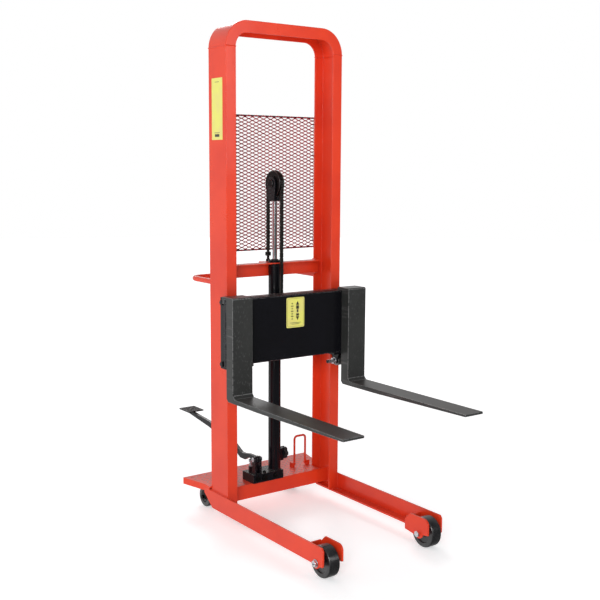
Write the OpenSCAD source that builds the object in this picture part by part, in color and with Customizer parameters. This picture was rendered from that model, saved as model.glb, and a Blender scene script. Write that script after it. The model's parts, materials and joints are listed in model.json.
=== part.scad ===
// Walkie stacker: foot pumped fork lift on a single channel mast.
// Units are millimetres. X is the width, Y runs from the fork tips to the
// pedal, Z is up. The origin is on the floor under the middle of the box.

/* [Mast] */
// Outer width over both uprights
mast_w = 486; // [440:1:560]
// Height of the bent top above the floor
mast_top_z = 1735; // [1500:5:2000]
// Depth of the upright channel from front to back
channel_d = 111; // [95:1:130]
// Width of a channel flange
channel_w = 40; // [34:1:50]
// Thickness of the channel web
web_t = 5; // [4:0.5:8]
// Thickness of a channel flange
flange_t = 6; // [4:0.5:9]
// Outer bend radius of the mast top
bow_r = 88; // [70:1:120]

/* [Base] */
// Height of a leg's upright wall
leg_h = 62; // [50:1:80]
// Gap between the floor and the leg
leg_bottom_z = 46; // [38:1:60]
// Width of a leg's foot flange
leg_w = 38; // [30:1:50]
// Thickness of the leg angle
leg_t = 6; // [4:0.5:8]
// Height of the deck's top face
deck_top_z = 120; // [110:1:140]
// Thickness of the deck plate
deck_t = 6; // [4:0.5:8]
// Distance from the mast's front face to the deck's rear edge
deck_rear = 258; // [230:1:320]
// Width of the deck at its rear edge
deck_rear_w = 552; // [510:1:600]
// Height of the beam across the front of the deck
beam_h = 52; // [44:1:60]

/* [Wheels] */
// Diameter of a front wheel
wheel_d = 102; // [90:1:114]
// Width of a front wheel's tread
wheel_w = 40; // [30:1:44]
// Distance of the front axle ahead of the mast
axle_reach = 520; // [450:1:600]
// Diameter of the front axle bolt
axle_d = 12; // [10:1:16]
// Diameter of a caster wheel
caster_d = 76; // [70:1:82]
// Width of a caster wheel
caster_w = 28; // [22:1:32]
// Trail of the caster axle behind its swivel
caster_trail = 32; // [26:1:36]

/* [Lift] */
// Outer diameter of the cylinder tube
tube_d = 45; // [38:1:50]
// Height of the top of the cylinder gland
tube_top_z = 924; // [860:1:960]
// Diameter of the ram rod
rod_d = 18; // [14:1:24]
// Length of rod that shows above the gland
ram_out = 210; // [200:1:240]
// Radius of the chain's middle line on its sheave
sheave_r = 42.3; // [38:0.1:43]
// Thickness of the chain
chain_t = 9.4; // [7:0.1:10]
// Width of the chain
chain_w = 12; // [10:0.5:14]

/* [Carriage] */
// Width of the carriage plate
plate_w = 570; // [540:1:620]
// Height of the carriage plate
plate_h = 227; // [215:1:260]
// Thickness of the carriage plate
plate_t = 12; // [8:1:16]
// Height of the carriage plate's lower edge
plate_z = 587; // [500:1:700]
// Distance of the plate's front face ahead of the mast
plate_reach = 60; // [56:1:70]
// Width of a mast roller
roller_w = 28; // [22:1:30]
// Diameter of a roller axle
roller_axle_d = 25; // [18:1:30]

/* [Forks] */
// Width of a fork
fork_w = 79; // [60:1:100]
// Distance from the shank's front face to the tip
blade_len = 589; // [450:1:700]
// Thickness of the blade at its heel
blade_t = 16; // [12:1:22]
// Thickness of the blade at its tip
tip_t = 8; // [5:1:10]
// Thickness of the shank from front to back
shank_t = 41; // [30:1:50]
// Distance from the mast's middle to a fork's outer edge
fork_edge = 284; // [240:1:300]
// Height of the blade's top face
blade_z = 486; // [440:1:520]

/* [Guard and handles] */
// Height of the guard's lower edge
guard_z = 956; // [930:1:1000]
// Height of the guard panel
guard_h = 478; // [400:1:520]
// Height of the push handle
handle_z = 854; // [820:1:856]
// Distance of the push handle's rear bar behind the mast's front face
handle_reach = 295; // [250:1:330]
// Diameter of the push handle's rod
handle_d = 19; // [16:1:25]
// Distance of the pedal's rear edge behind the mast's front face
pedal_reach = 568; // [520:1:620]
// Length of the pedal pad
pad_l = 76; // [60:1:90]
// Width of the pedal pad
pad_w = 68; // [50:1:80]
// Sideways place of the pump and its pedal
pump_x = -85; // [-100:1:-70]

/* [Hidden] */
$fn = 64;

// Clearances
slide_gap = 0.3;
pin_gap = 0.05;

// Colours
red = [0.86, 0.25, 0.16];
black = [0.06, 0.06, 0.07];
charcoal = [0.2, 0.2, 0.2];
steel = [0.7, 0.7, 0.72];
yellow = [0.86, 0.85, 0.42];

// The box's middle lies half way between the fork tips and the pedal.
shank_back = -plate_reach - slide_gap;
tip_y = shank_back - shank_t - blade_len;
mast_y = (-tip_y - pedal_reach) / 2;

// Mast
half_w = mast_w / 2;
web_in = half_w - web_t;
flange_in = half_w - channel_w;
seam_z = mast_top_z - bow_r;
foot_z = leg_bottom_z + leg_t;

// Base
leg_out = half_w + 7;
leg_top_z = leg_bottom_z + leg_h;
leg_rear = channel_d + 39;
beam_y = 51;
beam_t = 6;
deck_front = beam_y + beam_t;
lip_h = 18;

// Front wheels
wheel_x = leg_out - leg_t - 11 - wheel_w / 2;
cheek_t = 6;
cheek_x = wheel_x - wheel_w / 2 - 11 - cheek_t;
hub_d = 24;
axle_z = wheel_d / 2;
bulkhead_y = -axle_reach + wheel_d / 2 + 16;

// Casters
caster_x = 185;
caster_y = 205;
caster_plate_t = 6;
race_h = 6;
crown_t = 14;
king_d = 12;
caster_axle_d = 8;
crown_top_z = deck_top_z - deck_t - caster_plate_t - race_h - slide_gap;

// Cylinder, ram and chain
cyl_y = 68;
block_h = 32;
block_top_z = deck_top_z + block_h;
gland_h = 20;
bore_d = tube_d - 9;
rod_l = 750;
rod_top_z = tube_top_z + ram_out;
yoke_base_h = 14;
sheave_flange_r = sheave_r + chain_t / 2 - 2;
sheave_z = rod_top_z + yoke_base_h + sheave_flange_r + 2;
sheave_w = chain_w + 2 * slide_gap + 7;
sheave_pin_d = 20;
yoke_t = 6;
yoke_in = sheave_w / 2 + 1;
stud_d = 10;

// Crossbar
bar_z = 867;
bar_top_z = 916;
bar_y = 80;
bar_t = 6;

// Carriage
plate_top_z = plate_z + plate_h;
plate_back = -plate_reach + plate_t;
hook_t = 12;
hook_drop = 14;
hook_back = plate_back + slide_gap + hook_t;
tie_y = hook_back + 0.7;
side_in = half_w + 3.3;
side_t = 8;
side_rear = 24;
side_z = plate_z - 20;
bracket_t = 8;
bracket_out = flange_in - 9;
bracket_rear = 75;
channel_gap = channel_d - 2 * flange_t;
roller_d = channel_gap - 2 * slide_gap;
roller_y = channel_d / 2;
roller_low_z = plate_z + 55;
roller_top_z = roller_low_z + roller_d + 12;
roller_x = web_in - 3 - roller_w / 2;
anchor_z = plate_z + 93;
guide_d = 36;
guide_w = 20;
guide_x = flange_in + 21;
guide_y = -guide_d / 2 - slide_gap;
guide_z = plate_z - 39;
guide_pin_d = 12;
label_t = 0.6;

// Pump and pedal
pump_y = 84;
pivot_y = pump_y - 28;
pivot_z = 206;
plunger_d = 20;
barrel_h = 22;
cap_h = 7.7;
boss_r = 8;
cap_top_z = pivot_z - boss_r - slide_gap;
lever_t = 12;
pin_d = 10;

// Valve and bail
valve_z = 208;
knob_d = 46;
bail_x = 160;
bail_y = 130;
bail_w = 50;
bail_d = 8;
bail_z = 130;
bail_h = 108;

module at_mast() {
  translate([0, mast_y, 0]) children();
}

// Copies a right hand shape to both sides.
module both_sides() {
  children();
  mirror([1, 0, 0]) children();
}

// A cylinder that lies along X, centred on its own middle.
module rod_x(d, l) {
  rotate([0, 90, 0]) cylinder(d = d, h = l, center = true);
}

// A hexagonal nut or bolt head that lies along X.
module hex_x(af, l) {
  rotate([0, 90, 0]) cylinder(d = af / cos(30), h = l, $fn = 6, center = true);
}

// A plate whose outline is given as Y and Z points, from x0 outwards.
module side_outline(x0, t) {
  translate([x0, 0, 0]) rotate([90, 0, 90]) linear_extrude(t) children();
}

function arc(cx, cy, r, a0, a1, n) =
  [for (i = [0:n]) [cx + r * cos(a0 + (a1 - a0) * i / n), cy + r * sin(a0 + (a1 - a0) * i / n)]];

// ---------------------------------------------------------------- mast

// The channel section on the right side, open towards the middle.
module channel_section() {
  translate([web_in, 0]) square([web_t, channel_d]);
  translate([flange_in, 0]) square([channel_w, flange_t]);
  translate([flange_in, channel_d - flange_t]) square([channel_w, flange_t]);
}

module upright() {
  translate([0, 0, foot_z]) linear_extrude(seam_z - foot_z) channel_section();
}

module mast_left() {
  color(red) at_mast() mirror([1, 0, 0]) upright();
}

module mast_right() {
  color(red) at_mast() upright();
}

module mast_bow() {
  corner_x = half_w - bow_r;
  color(red) at_mast() {
    both_sides()
      translate([corner_x, channel_d, seam_z])
      rotate([90, 0, 0])
      rotate_extrude(angle = 90, $fn = 96)
      translate([-corner_x, 0])
      channel_section();
    translate([-corner_x, 0, seam_z])
      rotate([0, 90, 0])
      linear_extrude(2 * corner_x)
      rotate([0, 0, 180])
      mirror([0, 1, 0])
      translate([-corner_x, 0])
      channel_section();
  }
}

// ---------------------------------------------------------------- base

// Outer wall of a leg, with the lug for the axle and a raked rear end.
module leg_wall() {
  difference() {
    union() {
      polygon([
        [-axle_reach - 35, leg_bottom_z + 4], [-axle_reach - 35, leg_top_z - 10],
        [-axle_reach - 28, leg_top_z], [leg_rear, leg_top_z],
        [leg_rear, leg_top_z - 18], [leg_rear - 55, leg_bottom_z],
        [-axle_reach - 31, leg_bottom_z]
      ]);
      translate([-axle_reach, axle_z]) circle(r = 17);
    }
    translate([-axle_reach, axle_z]) circle(d = axle_d + 2 * pin_gap);
  }
}

// Inner cheek beside the wheel, with a rounded nose.
module leg_cheek() {
  nose_y = -axle_reach - 24;
  difference() {
    union() {
      polygon(concat(
        [[bulkhead_y, leg_bottom_z + 2], [bulkhead_y, leg_top_z - 24], [bulkhead_y - 24, leg_top_z]],
        arc(nose_y, leg_top_z - 20, 20, 90, 180, 8),
        [[nose_y - 20, axle_z + 4], [-axle_reach - 17, axle_z], [-axle_reach, axle_z - 12]]
      ));
      translate([-axle_reach, axle_z]) circle(r = 17);
    }
    translate([-axle_reach, axle_z]) circle(d = axle_d + 2 * pin_gap);
  }
}

module leg() {
  flange_front = bulkhead_y;
  side_outline(leg_out - leg_t, leg_t) leg_wall();
  translate([leg_out - leg_w, flange_front, leg_bottom_z])
    cube([leg_w - leg_t, leg_rear - 55 - flange_front, leg_t]);
  side_outline(cheek_x, cheek_t) leg_cheek();
  translate([cheek_x + cheek_t, bulkhead_y - leg_t, leg_bottom_z + 2])
    cube([leg_out - leg_t - cheek_x - cheek_t, leg_t, leg_h - 18]);
}

module leg_left() {
  color(red) at_mast() mirror([1, 0, 0]) leg();
}

module leg_right() {
  color(red) at_mast() leg();
}

// Right half of the deck's outline, drawn in by a wall of thickness i.
function deck_half(i) = [
  [flange_in - slide_gap - i, deck_front],
  [flange_in - slide_gap - i, channel_d + slide_gap + i],
  [leg_out - i, channel_d + slide_gap + i], [leg_out - i, leg_rear],
  [deck_rear_w / 2 - i, deck_rear - i]
];

module deck_outline(i) {
  half = deck_half(i);
  polygon(concat(half, [for (k = [len(half) - 1:-1:0]) [-half[k][0], half[k][1]]]));
}

module deck_plate() {
  color(red) at_mast() {
    translate([0, 0, deck_top_z - deck_t]) linear_extrude(deck_t) deck_outline(0);
    difference() {
      translate([0, 0, deck_top_z - deck_t - lip_h]) linear_extrude(lip_h) deck_outline(0);
      translate([0, 0, deck_top_z - deck_t - lip_h - 1]) linear_extrude(lip_h + 2) deck_outline(deck_t);
      translate([-deck_rear_w / 2, 0, 0]) cube([deck_rear_w, channel_d + slide_gap + deck_t, deck_top_z - deck_t]);
      translate([-deck_rear_w / 2, 0, 0]) cube([deck_rear_w, leg_rear + slide_gap, leg_top_z]);
    }
  }
}

module front_beam() {
  foot = 20;
  color(red) at_mast() {
    translate([-web_in, beam_y, deck_top_z - beam_h]) cube([2 * web_in, beam_t, beam_h]);
    translate([-flange_in, beam_y + beam_t, deck_top_z - beam_h]) cube([2 * flange_in, foot, beam_t]);
  }
}

module front_axles() {
  inner = cheek_x - 11;
  outer = leg_out + 8;
  color(steel) at_mast() both_sides() {
    translate([(inner + outer) / 2, -axle_reach, axle_z]) rod_x(axle_d, outer - inner);
    translate([leg_out + 4, -axle_reach, axle_z]) hex_x(19, 8);
    translate([cheek_x - 5, -axle_reach, axle_z]) hex_x(19, 10);
  }
}

module front_wheel() {
  hub_l = leg_out - leg_t - cheek_x - cheek_t - 2 * slide_gap;
  translate([wheel_x, -axle_reach, axle_z])
    difference() {
      union() {
        rotate([0, 90, 0]) rotate_extrude($fn = 96) wheel_section(wheel_d, wheel_w, 5);
        rod_x(hub_d, hub_l);
      }
      rod_x(axle_d + 2 * pin_gap, hub_l + 2);
    }
}

// Half of a wheel's section, with rounded shoulders and a dished web.
module wheel_section(d, w, r) {
  rim = d / 2 - 15;
  difference() {
    polygon(concat(
      [[0, -w / 2], [d / 2 - r, -w / 2]],
      arc(d / 2 - r, -w / 2 + r, r, -90, 0, 6),
      arc(d / 2 - r, w / 2 - r, r, 0, 90, 6),
      [[0, w / 2]]
    ));
    for (s = [-1, 1])
      polygon([
        [hub_d / 2 + 3, s * (w / 2 + 1)], [hub_d / 2 + 5, s * (w / 2 - 5)],
        [rim - 2, s * (w / 2 - 5)], [rim, s * (w / 2 + 1)]
      ]);
  }
}

module front_wheel_left() {
  color(charcoal) at_mast() mirror([1, 0, 0]) front_wheel();
}

module front_wheel_right() {
  color(charcoal) at_mast() front_wheel();
}

// ---------------------------------------------------------------- casters

module caster_plates() {
  top = deck_top_z - deck_t;
  color(steel) at_mast() both_sides() translate([caster_x, caster_y, 0]) {
    translate([-36, -36, top - caster_plate_t]) cube([72, 72, caster_plate_t]);
    translate([0, 0, top - caster_plate_t - race_h]) cylinder(d = 50, h = race_h);
    translate([0, 0, crown_top_z - crown_t - 5]) cylinder(d = king_d, h = crown_t + 6);
    translate([0, 0, crown_top_z - crown_t - 5]) cylinder(d = 20, h = 5 - slide_gap);
    for (x = [-27, 27], y = [-27, 27])
      translate([x, y, top - caster_plate_t - 5]) cylinder(d = 12, h = 5, $fn = 6);
  }
}

module caster_fork() {
  cheek_in = caster_w / 2 + 2.5;
  crown_z = crown_top_z - crown_t;
  wheel_z = caster_d / 2;
  translate([caster_x, caster_y, 0]) {
    translate([0, 0, crown_z])
      difference() {
        cylinder(d = 52, h = crown_t);
        translate([0, 0, -1]) cylinder(d = king_d + 2 * pin_gap, h = crown_t + 2);
      }
    for (s = [-1, 1])
      translate([s * (cheek_in + 2), 0, 0])
      side_outline(-2, 4)
      union() {
        polygon([
          [-18, crown_z + 6], [18, crown_z + 6], [caster_trail + 12, wheel_z + 8],
          [caster_trail + 12, wheel_z - 8], [caster_trail - 10, wheel_z - 9], [-18, crown_z - 8]
        ]);
        translate([caster_trail, wheel_z]) circle(r = 12);
      }
    translate([0, caster_trail, wheel_z]) {
      rod_x(caster_axle_d, 2 * cheek_in + 12);
      for (s = [-1, 1]) translate([s * (cheek_in + 7), 0, 0]) hex_x(13, 6);
    }
  }
}

module caster_wheel() {
  translate([caster_x, caster_y + caster_trail, caster_d / 2])
    difference() {
      union() {
        rotate([0, 90, 0]) rotate_extrude($fn = 96) wheel_section(caster_d, caster_w, 4);
        rod_x(18, caster_w + 4.4);
      }
      rod_x(caster_axle_d + 2 * pin_gap, caster_w + 10);
    }
}

module caster_fork_left() {
  color(steel) at_mast() mirror([1, 0, 0]) caster_fork();
}

module caster_fork_right() {
  color(steel) at_mast() caster_fork();
}

module caster_wheel_left() {
  color(black) at_mast() mirror([1, 0, 0]) caster_wheel();
}

module caster_wheel_right() {
  color(black) at_mast() caster_wheel();
}

// ---------------------------------------------------------------- frame details

// The bar is notched round the cylinder and carries the chain's rear end.
module crossbar() {
  shelf_front = cyl_y - 26;
  shelf_x = bracket_out - bracket_t - 3;
  color(red) at_mast() difference() {
    union() {
      translate([-flange_in + bar_t, bar_y, bar_z]) cube([2 * (flange_in - bar_t), bar_t, bar_top_z - bar_z]);
      translate([-shelf_x, shelf_front, bar_top_z - 4]) cube([2 * shelf_x, bar_y - shelf_front, 4]);
      translate([-32, bar_y + bar_t, bar_top_z - bar_t]) cube([64, 38, bar_t]);
      both_sides() side_outline(flange_in - bar_t, bar_t) polygon([
        [bar_y, bar_z], [bar_y, bar_top_z], [channel_d, bar_top_z], [channel_d, bar_z - 12]
      ]);
    }
    translate([0, cyl_y, bar_z - 20]) cylinder(d = tube_d + 2 * pin_gap, h = 100);
    translate([0, cyl_y + sheave_r, bar_z]) cylinder(d = stud_d + 2 * pin_gap, h = 100);
  }
}

module push_handle() {
  bend = 50;
  x = half_w - 20;
  rear = handle_reach - handle_d / 2;
  color(red) at_mast() translate([0, 0, handle_z]) {
    both_sides() {
      translate([x, channel_d, 0]) rotate([-90, 0, 0]) cylinder(d = handle_d, h = rear - bend - channel_d);
      translate([x - bend, rear - bend, 0])
        rotate_extrude(angle = 90) translate([bend, 0]) circle(d = handle_d, $fn = 48);
    }
    translate([0, rear, 0]) rod_x(handle_d, 2 * (x - bend));
  }
}

guard_gap = 6.5;
guard_t = 2;
guard_w = 2 * flange_in + 24;

module guard_mesh() {
  cell_w = 36;
  cell_h = 24;
  cols = floor((guard_w - 16) / cell_w);
  rows = floor((guard_h - 16) / cell_h);
  x0 = -(cols - 1) * cell_w / 2;
  z0 = (guard_h - (rows - 1) * cell_h) / 2;
  color(black) at_mast()
    translate([0, channel_d + guard_gap + guard_t, guard_z])
    rotate([90, 0, 0])
    linear_extrude(guard_t)
    difference() {
      translate([-guard_w / 2, 0]) square([guard_w, guard_h]);
      for (i = [0:cols - 1], j = [0:rows - 1])
        translate([x0 + i * cell_w, z0 + j * cell_h])
        polygon([[-cell_w / 2 + 4, 0], [0, -cell_h / 2 + 3], [cell_w / 2 - 4, 0], [0, cell_h / 2 - 3]]);
    }
}

module guard_rods() {
  color(black) at_mast()
    for (z = [guard_z + 3, guard_z + guard_h - 3])
      translate([0, channel_d + guard_gap + guard_t + 3, z]) rod_x(6, guard_w);
}

module guard_clips() {
  n = 5;
  step = (guard_h - 60) / (n - 1);
  y = channel_d + guard_gap + guard_t;
  color(steel) at_mast() both_sides()
    for (i = [0:n - 1])
      translate([flange_in + 6, 0, guard_z + 30 + i * step]) {
        translate([-5, channel_d, -7]) cube([14, guard_gap, 14]);
        translate([-5, y, -7]) cube([14, 2, 14]);
        translate([2, y + 2, 0]) rotate([-90, 0, 0]) cylinder(d = 8, h = 3, $fn = 6);
      }
}

module mast_label() {
  color(yellow) at_mast()
    translate([-half_w - label_t, 22, seam_z - 305]) cube([label_t, 68, 204]);
}

module bail_clips() {
  inner = bail_w / 2 + bail_d / 2 + 1;
  color(red) at_mast()
    for (s = [-1, 1])
      translate([bail_x + s * (inner + 5), bail_y, deck_top_z])
      difference() {
        translate([-5, -9, 0]) cube([10, 18, bail_z - deck_top_z + 8]);
        translate([0, 0, bail_z - deck_top_z]) rod_x(bail_d + 2 * pin_gap, 12);
      }
}

// ---------------------------------------------------------------- cylinder and pump

module cylinder_tube() {
  h = tube_top_z - gland_h - block_top_z;
  color(black) at_mast() translate([0, cyl_y, block_top_z])
    difference() {
      cylinder(d = tube_d, h = h);
      translate([0, 0, 20]) cylinder(d = bore_d, h = h);
    }
}

module gland_nut() {
  color(black) at_mast() translate([0, cyl_y, tube_top_z - gland_h])
    difference() {
      cylinder(d = tube_d, h = gland_h);
      translate([0, 0, -1]) cylinder(d = rod_d + 2 * pin_gap, h = gland_h + 2);
      for (a = [0:60:300])
        rotate([0, 0, a]) translate([tube_d / 2, 0, gland_h - 8]) cylinder(d = 7, h = 10);
    }
}

module pump_block() {
  front = pivot_y - 12;
  ear_in = lever_t / 2 + slide_gap;
  color(black) at_mast() difference() {
    union() {
      translate([pump_x - 22, front, deck_top_z]) cube([22 - pump_x + 24, 74, block_h]);
      for (s = [-1, 1])
        side_outline(pump_x + s * (ear_in + 4) - 4, 8) union() {
          polygon([
            [front, block_top_z], [front + 24, block_top_z],
            [pivot_y + 10, pivot_z], [pivot_y - 10, pivot_z]
          ]);
          translate([pivot_y, pivot_z]) circle(r = 11);
        }
    }
    translate([pump_x, pivot_y, pivot_z]) rod_x(pin_d, 60);
    translate([pump_x, pump_y, deck_top_z + 8]) cylinder(d = plunger_d + 2 * pin_gap, h = 60);
  }
}

module pump_barrel() {
  color(black) at_mast() translate([pump_x, pump_y, block_top_z])
    difference() {
      cylinder(d = 30, h = barrel_h);
      translate([0, 0, -1]) cylinder(d = plunger_d + 2 * pin_gap, h = barrel_h + 2);
    }
}

module pump_plunger() {
  color(steel) at_mast() translate([pump_x, pump_y, 0]) {
    translate([0, 0, deck_top_z + 20]) cylinder(d = plunger_d, h = cap_top_z - deck_top_z - 20);
    translate([0, 0, cap_top_z - cap_h]) cylinder(d = 29, h = cap_h);
  }
}

// Coil between the pump barrel and the plunger's cap.
module return_spring() {
  wire = 2;
  r = 12;
  turns = 2.25;
  per_turn = 14;
  sides = 6;
  z0 = block_top_z + barrel_h + wire / 2;
  z1 = cap_top_z - cap_h - wire / 2;
  n = ceil(turns * per_turn);
  points = [
    for (i = [0:n], k = [0:sides - 1])
      let (a = 360 * turns * i / n, b = 360 * k / sides, q = r + wire / 2 * cos(b))
        [q * cos(a), q * sin(a), z0 + (z1 - z0) * i / n + wire / 2 * sin(b)]
  ];
  walls = [
    for (i = [0:n - 1], k = [0:sides - 1])
      [i * sides + k, i * sides + (k + 1) % sides, (i + 1) * sides + (k + 1) % sides, (i + 1) * sides + k]
  ];
  ends = [[for (k = [sides - 1:-1:0]) k], [for (k = [0:sides - 1]) n * sides + k]];
  color(steel) at_mast() translate([pump_x, pump_y, 0])
    polyhedron(points = points, faces = [for (f = concat(walls, ends)) [for (k = [len(f) - 1:-1:0]) f[k]]]);
}

module pedal_pin() {
  color(steel) at_mast() translate([pump_x, pivot_y, pivot_z]) {
    rod_x(pin_d, 36);
    for (s = [-1, 1]) translate([s * 17, 0, 0]) rod_x(16, 3);
  }
}

// Pedal lever: a flat bar on edge that dips behind the pump and then climbs.
module pedal_lever() {
  pad_y = pedal_reach - pad_l / 2;
  top = [
    [pivot_y - 4, pivot_z + 11], [pump_y + 18, pivot_z + 10], [pivot_y + 76, pivot_z + 4],
    [pivot_y + 98, pivot_z + 4], [pivot_y + 146, pivot_z + 28], [pivot_y + 230, pivot_z + 50],
    [pivot_y + 330, pivot_z + 70], [pad_y + 26, pivot_z + 84]
  ];
  bottom = [
    [pad_y + 26, pivot_z + 72], [pivot_y + 330, pivot_z + 48], [pivot_y + 230, pivot_z + 26],
    [pivot_y + 146, pivot_z + 4], [pivot_y + 104, pivot_z - 18], [pivot_y + 72, pivot_z - 18],
    [pump_y + 20, pivot_z - 4], [pivot_y - 4, pivot_z - 4]
  ];
  color(black) at_mast() difference() {
    union() {
      side_outline(pump_x - lever_t / 2, lever_t) polygon(concat(top, bottom));
      translate([pump_x, pivot_y, pivot_z]) rod_x(26, lever_t);
      translate([pump_x, pump_y, pivot_z]) rod_x(2 * boss_r, lever_t);
    }
    translate([pump_x, pivot_y, pivot_z]) rod_x(pin_d + 2 * pin_gap, lever_t + 2);
  }
}

module pedal_pad() {
  pad_y = pedal_reach - pad_l / 2;
  lift = pivot_z + 84;
  grip_h = 1.5;
  color(charcoal) at_mast() translate([pump_x, pad_y, lift]) {
    translate([-pad_w / 2, -pad_l / 2, 0]) cube([pad_w, pad_l, 5]);
    for (i = [-2:2])
      translate([-pad_w / 2 + 6, i * 13 - 2.5, 5]) cube([pad_w - 12, 5, grip_h]);
  }
}

module valve_body() {
  color(black) at_mast() difference() {
    translate([14, cyl_y - 10, valve_z - 26]) cube([20, 20, 46]);
    translate([0, cyl_y, valve_z - 40]) cylinder(d = tube_d + 2 * pin_gap, h = 80);
    translate([34, cyl_y, valve_z]) rod_x(8 + 2 * pin_gap, 16);
  }
}

module valve_knob() {
  color(charcoal) at_mast() translate([0, cyl_y, valve_z]) {
    translate([34 + slide_gap, 0, 0])
      rotate([0, 90, 0])
      difference() {
        cylinder(d = knob_d, h = 13);
        for (a = [0:60:300])
          rotate([0, 0, a]) translate([knob_d / 2 + 4, 0, -1]) cylinder(d = 15, h = 15);
      }
    translate([31 + slide_gap, 0, 0]) rod_x(8, 8);
    translate([48, 0, 0]) rod_x(20, 3);
  }
}

// Wire bail that stands up from the deck and folds back on its feet.
module bail() {
  bend = 12;
  x = bail_w / 2;
  foot = 11;
  color(red) at_mast() translate([bail_x, bail_y, bail_z]) {
    for (s = [0, 1]) mirror([s, 0, 0]) {
      translate([x, 0, 0]) cylinder(d = bail_d, h = bail_h - bend);
      translate([x - bend, 0, bail_h - bend])
        rotate([90, 0, 0]) rotate_extrude(angle = 90) translate([bend, 0]) circle(d = bail_d, $fn = 32);
      translate([x + foot / 2 - bail_d / 4, 0, 0]) rod_x(bail_d, foot + bail_d / 2);
    }
    translate([0, 0, bail_h]) rod_x(bail_d, 2 * (x - bend));
  }
}

// ---------------------------------------------------------------- ram and chain

module ram_rod() {
  color(steel) at_mast() translate([0, cyl_y, rod_top_z - rod_l]) {
    cylinder(d = rod_d, h = rod_l);
    cylinder(d = bore_d - 2 * pin_gap, h = 30);
  }
}

module crosshead() {
  w = 2 * (yoke_in + yoke_t);
  color(black) at_mast() translate([0, cyl_y, rod_top_z]) difference() {
    union() {
      translate([-w / 2, -20, 0]) cube([w, 40, yoke_base_h]);
      for (s = [-1, 1])
        translate([s * (yoke_in + yoke_t / 2), 0, 0])
        side_outline(-yoke_t / 2, yoke_t)
        union() {
          polygon([[-20, 0], [20, 0], [24, sheave_z - rod_top_z], [-24, sheave_z - rod_top_z]]);
          translate([0, sheave_z - rod_top_z]) circle(r = 24);
        }
    }
    translate([0, 0, sheave_z - rod_top_z]) rod_x(sheave_pin_d + 2 * pin_gap, w + 2);
  }
}

module sheave_pin() {
  w = 2 * (yoke_in + yoke_t);
  color(steel) at_mast() translate([0, cyl_y, sheave_z]) {
    rod_x(sheave_pin_d, w);
    for (s = [-1, 1]) translate([s * (w / 2 + 2), 0, 0]) rod_x(28, 4);
  }
}

module sheave() {
  root_r = sheave_r - chain_t / 2 - slide_gap;
  groove = chain_w + 2 * slide_gap;
  color(steel) at_mast() translate([0, cyl_y, sheave_z])
    difference() {
      union() {
        rod_x(2 * root_r, sheave_w);
        for (s = [-1, 1])
          translate([s * (groove / 2 + (sheave_w - groove) / 4), 0, 0])
          rod_x(2 * sheave_flange_r, (sheave_w - groove) / 2);
      }
      rod_x(sheave_pin_d + 2 * pin_gap, sheave_w + 2);
      for (a = [0:60:300])
        rotate([a, 0, 0]) translate([0, 23, 0]) rod_x(12, sheave_w + 2);
    }
}

module chain_wrap() {
  inner = sheave_r - chain_t / 2;
  color(charcoal) at_mast() translate([0, cyl_y, sheave_z])
    rotate([0, 90, 0])
    rotate([0, 0, 90])
    rotate_extrude(angle = 180, $fn = 96)
    translate([inner, -chain_w / 2])
    square([chain_t, chain_w]);
}

// A straight strand of chain between two heights.
module chain_strand(y, z0, z1) {
  translate([-chain_w / 2, y - chain_t / 2, z0]) cube([chain_w, chain_t, z1 - z0]);
}

module chain_rear() {
  color(charcoal) at_mast() chain_strand(cyl_y + sheave_r, bar_top_z + 34, sheave_z);
}

module chain_front() {
  color(charcoal) at_mast() chain_strand(cyl_y - sheave_r, anchor_z + 24, sheave_z);
}

// Threaded stud with a clevis on top, for a chain's end.
module chain_stud(base_z, clevis_z, below) {
  translate([0, 0, base_z - below]) cylinder(d = stud_d, h = clevis_z - base_z + below);
  translate([-8, -7, clevis_z - 14]) cube([16, 14, 14]);
}

module rear_chain_anchor() {
  color(steel) at_mast() translate([0, cyl_y + sheave_r, 0]) {
    chain_stud(bar_top_z, bar_top_z + 34, 26);
    for (z = [bar_top_z, bar_top_z - bar_t - 8]) translate([0, 0, z]) cylinder(d = 18, h = 8, $fn = 6);
  }
}

// ---------------------------------------------------------------- carriage

module carriage_plate() {
  edge = 3;
  color(black) at_mast() translate([-plate_w / 2, -plate_reach, 0]) rotate([90, 0, 90])
    linear_extrude(plate_w)
    polygon([
      [0, plate_z + edge], [edge, plate_z], [plate_t, plate_z], [plate_t, plate_top_z],
      [edge, plate_top_z], [0, plate_top_z - edge]
    ]);
}

module carriage_tie() {
  rear = -3;
  color(black) at_mast()
    translate([-side_in, tie_y, plate_top_z - 6]) cube([2 * side_in, rear - tie_y, 6]);
}

module side_plate() {
  side_outline(side_in, side_t)
    polygon([
      [plate_back, side_z], [plate_back, plate_top_z - hook_drop - 1], [tie_y, plate_top_z - hook_drop - 1],
      [tie_y, plate_top_z], [side_rear, plate_top_z], [side_rear, side_z]
    ]);
}

module side_plate_left() {
  color(black) at_mast() mirror([1, 0, 0]) side_plate();
}

module side_plate_right() {
  color(black) at_mast() side_plate();
}

module roller_brackets() {
  z1 = plate_top_z - 6;
  color(black) at_mast() both_sides()
    side_outline(bracket_out - bracket_t, bracket_t)
    difference() {
      polygon([
        [plate_back, plate_z + 3], [plate_back, plate_top_z - hook_drop - 1], [tie_y, plate_top_z - hook_drop - 1],
        [tie_y, z1], [-3, z1], [bracket_rear, z1 - 30], [bracket_rear, plate_z + 30], [20, plate_z + 3]
      ]);
      for (z = [roller_low_z, roller_top_z])
        translate([roller_y, z]) circle(d = roller_axle_d);
    }
}

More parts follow.
